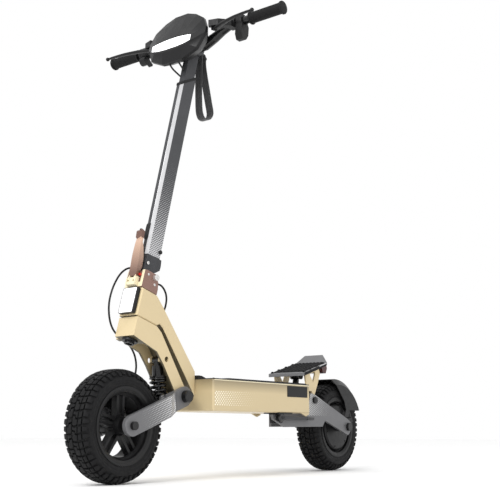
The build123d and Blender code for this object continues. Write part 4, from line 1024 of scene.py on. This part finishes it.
for word, hand in SIDES:
    for index, (u, z) in enumerate(((722, 228), (718, 206))):
        bolt("bracket_bolt_%s_%d" % (word, index), place(hand * 58, u, z), LEFT * hand, 3.6, 2.2, "frame")
    # a cream strip along the top of each deck side: painted highlight on the deck's top edge
    prism("deck_lip_highlight_" + word, [(259, 251.8), (699, 251.8), (699, 249.4), (259, 249.4)],
          *sorted((hand * TRIM_LOW, hand * TRIM_HIGH)), "frame", "gold_frame", "cream", 0.0, side_map)
    for index, u in enumerate((268, 309)):
        for x in (30, 82):
            bolt("lid_screw_%s_%d_%d" % (word, index, x), place(hand * x, u, 254.4), UP, 3.2, 1.6, "frame",
                 "black_gloss")

# ------------------------------------------------------------------ wheels: valve, screws
VALVE_TURN = math.radians(205)
inward = -Vector((0, math.sin(VALVE_TURN), math.cos(VALVE_TURN)))
lathe("front_valve", wheel_point(8.0, 82.0, VALVE_TURN, 0.0), inward,
      [(-3, 3.6), (4, 3.4), (9, 2.8), (20, 2.7), (20.4, 3.2), (27, 3.2), (28, 2.4), (28.2, 0)], "front_wheel",
      "rubber", 20)
for word, hand in SIDES:
    for index in range(6):
        centre = wheel_point(hand * 36.4, 62, math.radians(60 * index + 15), WHEELBASE)
        bolt("hub_screw_%s_%d" % (word, index), centre, LEFT * hand, 2.6, 1.4, "rear_wheel",
             "black_gloss")
for index in range(6):
    centre = wheel_point(-44.0, 20, math.radians(60 * index), 0.0)
    bolt("rotor_screw_%d" % index, centre, -LEFT, 2.4, 1.6, "front_wheel")
for index, u in enumerate((15, 35)):
    bolt("caliper_bolt_%d" % index, place(-60, u, 195), -LEFT, 3.4, 2.4, "front_arm")

# ------------------------------------------------------------------ display glass and its screws
prism("display_glass", rounded(74, 21, 3.5, 4, (0, 50)), -52.6, -51.8, "stem", "gloss_black", "glass", 0.0003, cowl)
cowl_back = Vector((0, math.cos(COWL_LEAN), -math.sin(COWL_LEAN)))
for index, x in enumerate((-34, 34)):
    bolt("cowl_screw_%d" % index, cowl(x, 26.5, -37.6), cowl_back, 2.6, 1.6, "stem", "black_gloss")

# ------------------------------------------------------------------ floor, light and camera
floor_mesh = bpy.data.meshes.new("floor")
FLOOR_Z = -0.0004
floor_mesh.from_pydata([(x, y, FLOOR_Z) for x, y in ((-9, -9), (9, -9), (9, 9), (-9, 9))], [], [(0, 1, 2, 3)])
floor = bpy.data.objects.new("floor", floor_mesh)
bpy.context.scene.collection.objects.link(floor)
floor_paint = Nodes("floor_paint")
floor_paint.paint(floor_paint.mix(floor_paint.noise(3.0), (0.955, 0.955, 0.955, 1), (0.97, 0.97, 0.97, 1)))
floor_paint.shader.inputs["Roughness"].default_value = 0.9
floor_mesh.materials.append(floor_paint.mat)

world = bpy.data.worlds.new("studio")
world.use_nodes = True
world.node_tree.nodes["Background"].inputs["Color"].default_value = (1, 1, 1, 1)
world.node_tree.nodes["Background"].inputs["Strength"].default_value = 1.0
bpy.context.scene.world = world


def area_light(name, location, power):
    """A square soft light that looks at the scooter's middle."""
    data = bpy.data.lights.new(name, "AREA")
    data.shape = "RECTANGLE"
    data.size = data.size_y = 1.6
    data.energy = power
    light = bpy.data.objects.new(name, data)
    light.location = location
    light.rotation_euler = (Vector((0, 0, 0.5)) - Vector(location)).to_track_quat("-Z", "Y").to_euler()
    bpy.context.scene.collection.objects.link(light)


area_light("key", (0.6, -3.4, 2.6), 84)
area_light("fill", (3.2, 0.4, 1.8), 8)

camera_data = bpy.data.cameras.new("camera")
camera_data.sensor_width = 36
camera_data.lens = 64.47
camera = bpy.data.objects.new("camera", camera_data)
bpy.context.scene.collection.objects.link(camera)
camera_place = Vector((1.55156, FRONT_Y - 1.5296, 0.12486))
forward = Vector((-0.5894, 0.7835, 0.1967)).normalized()
above = Vector((0.7991, 0.6012, 0.0)).normalized().cross(forward).normalized()
right = forward.cross(above).normalized()
turn = Matrix((right, above, -forward)).transposed().to_4x4()
camera.matrix_world = Matrix.Translation(camera_place) @ turn
bpy.context.scene.camera = camera
bpy.context.scene.view_settings.view_transform = "Standard"
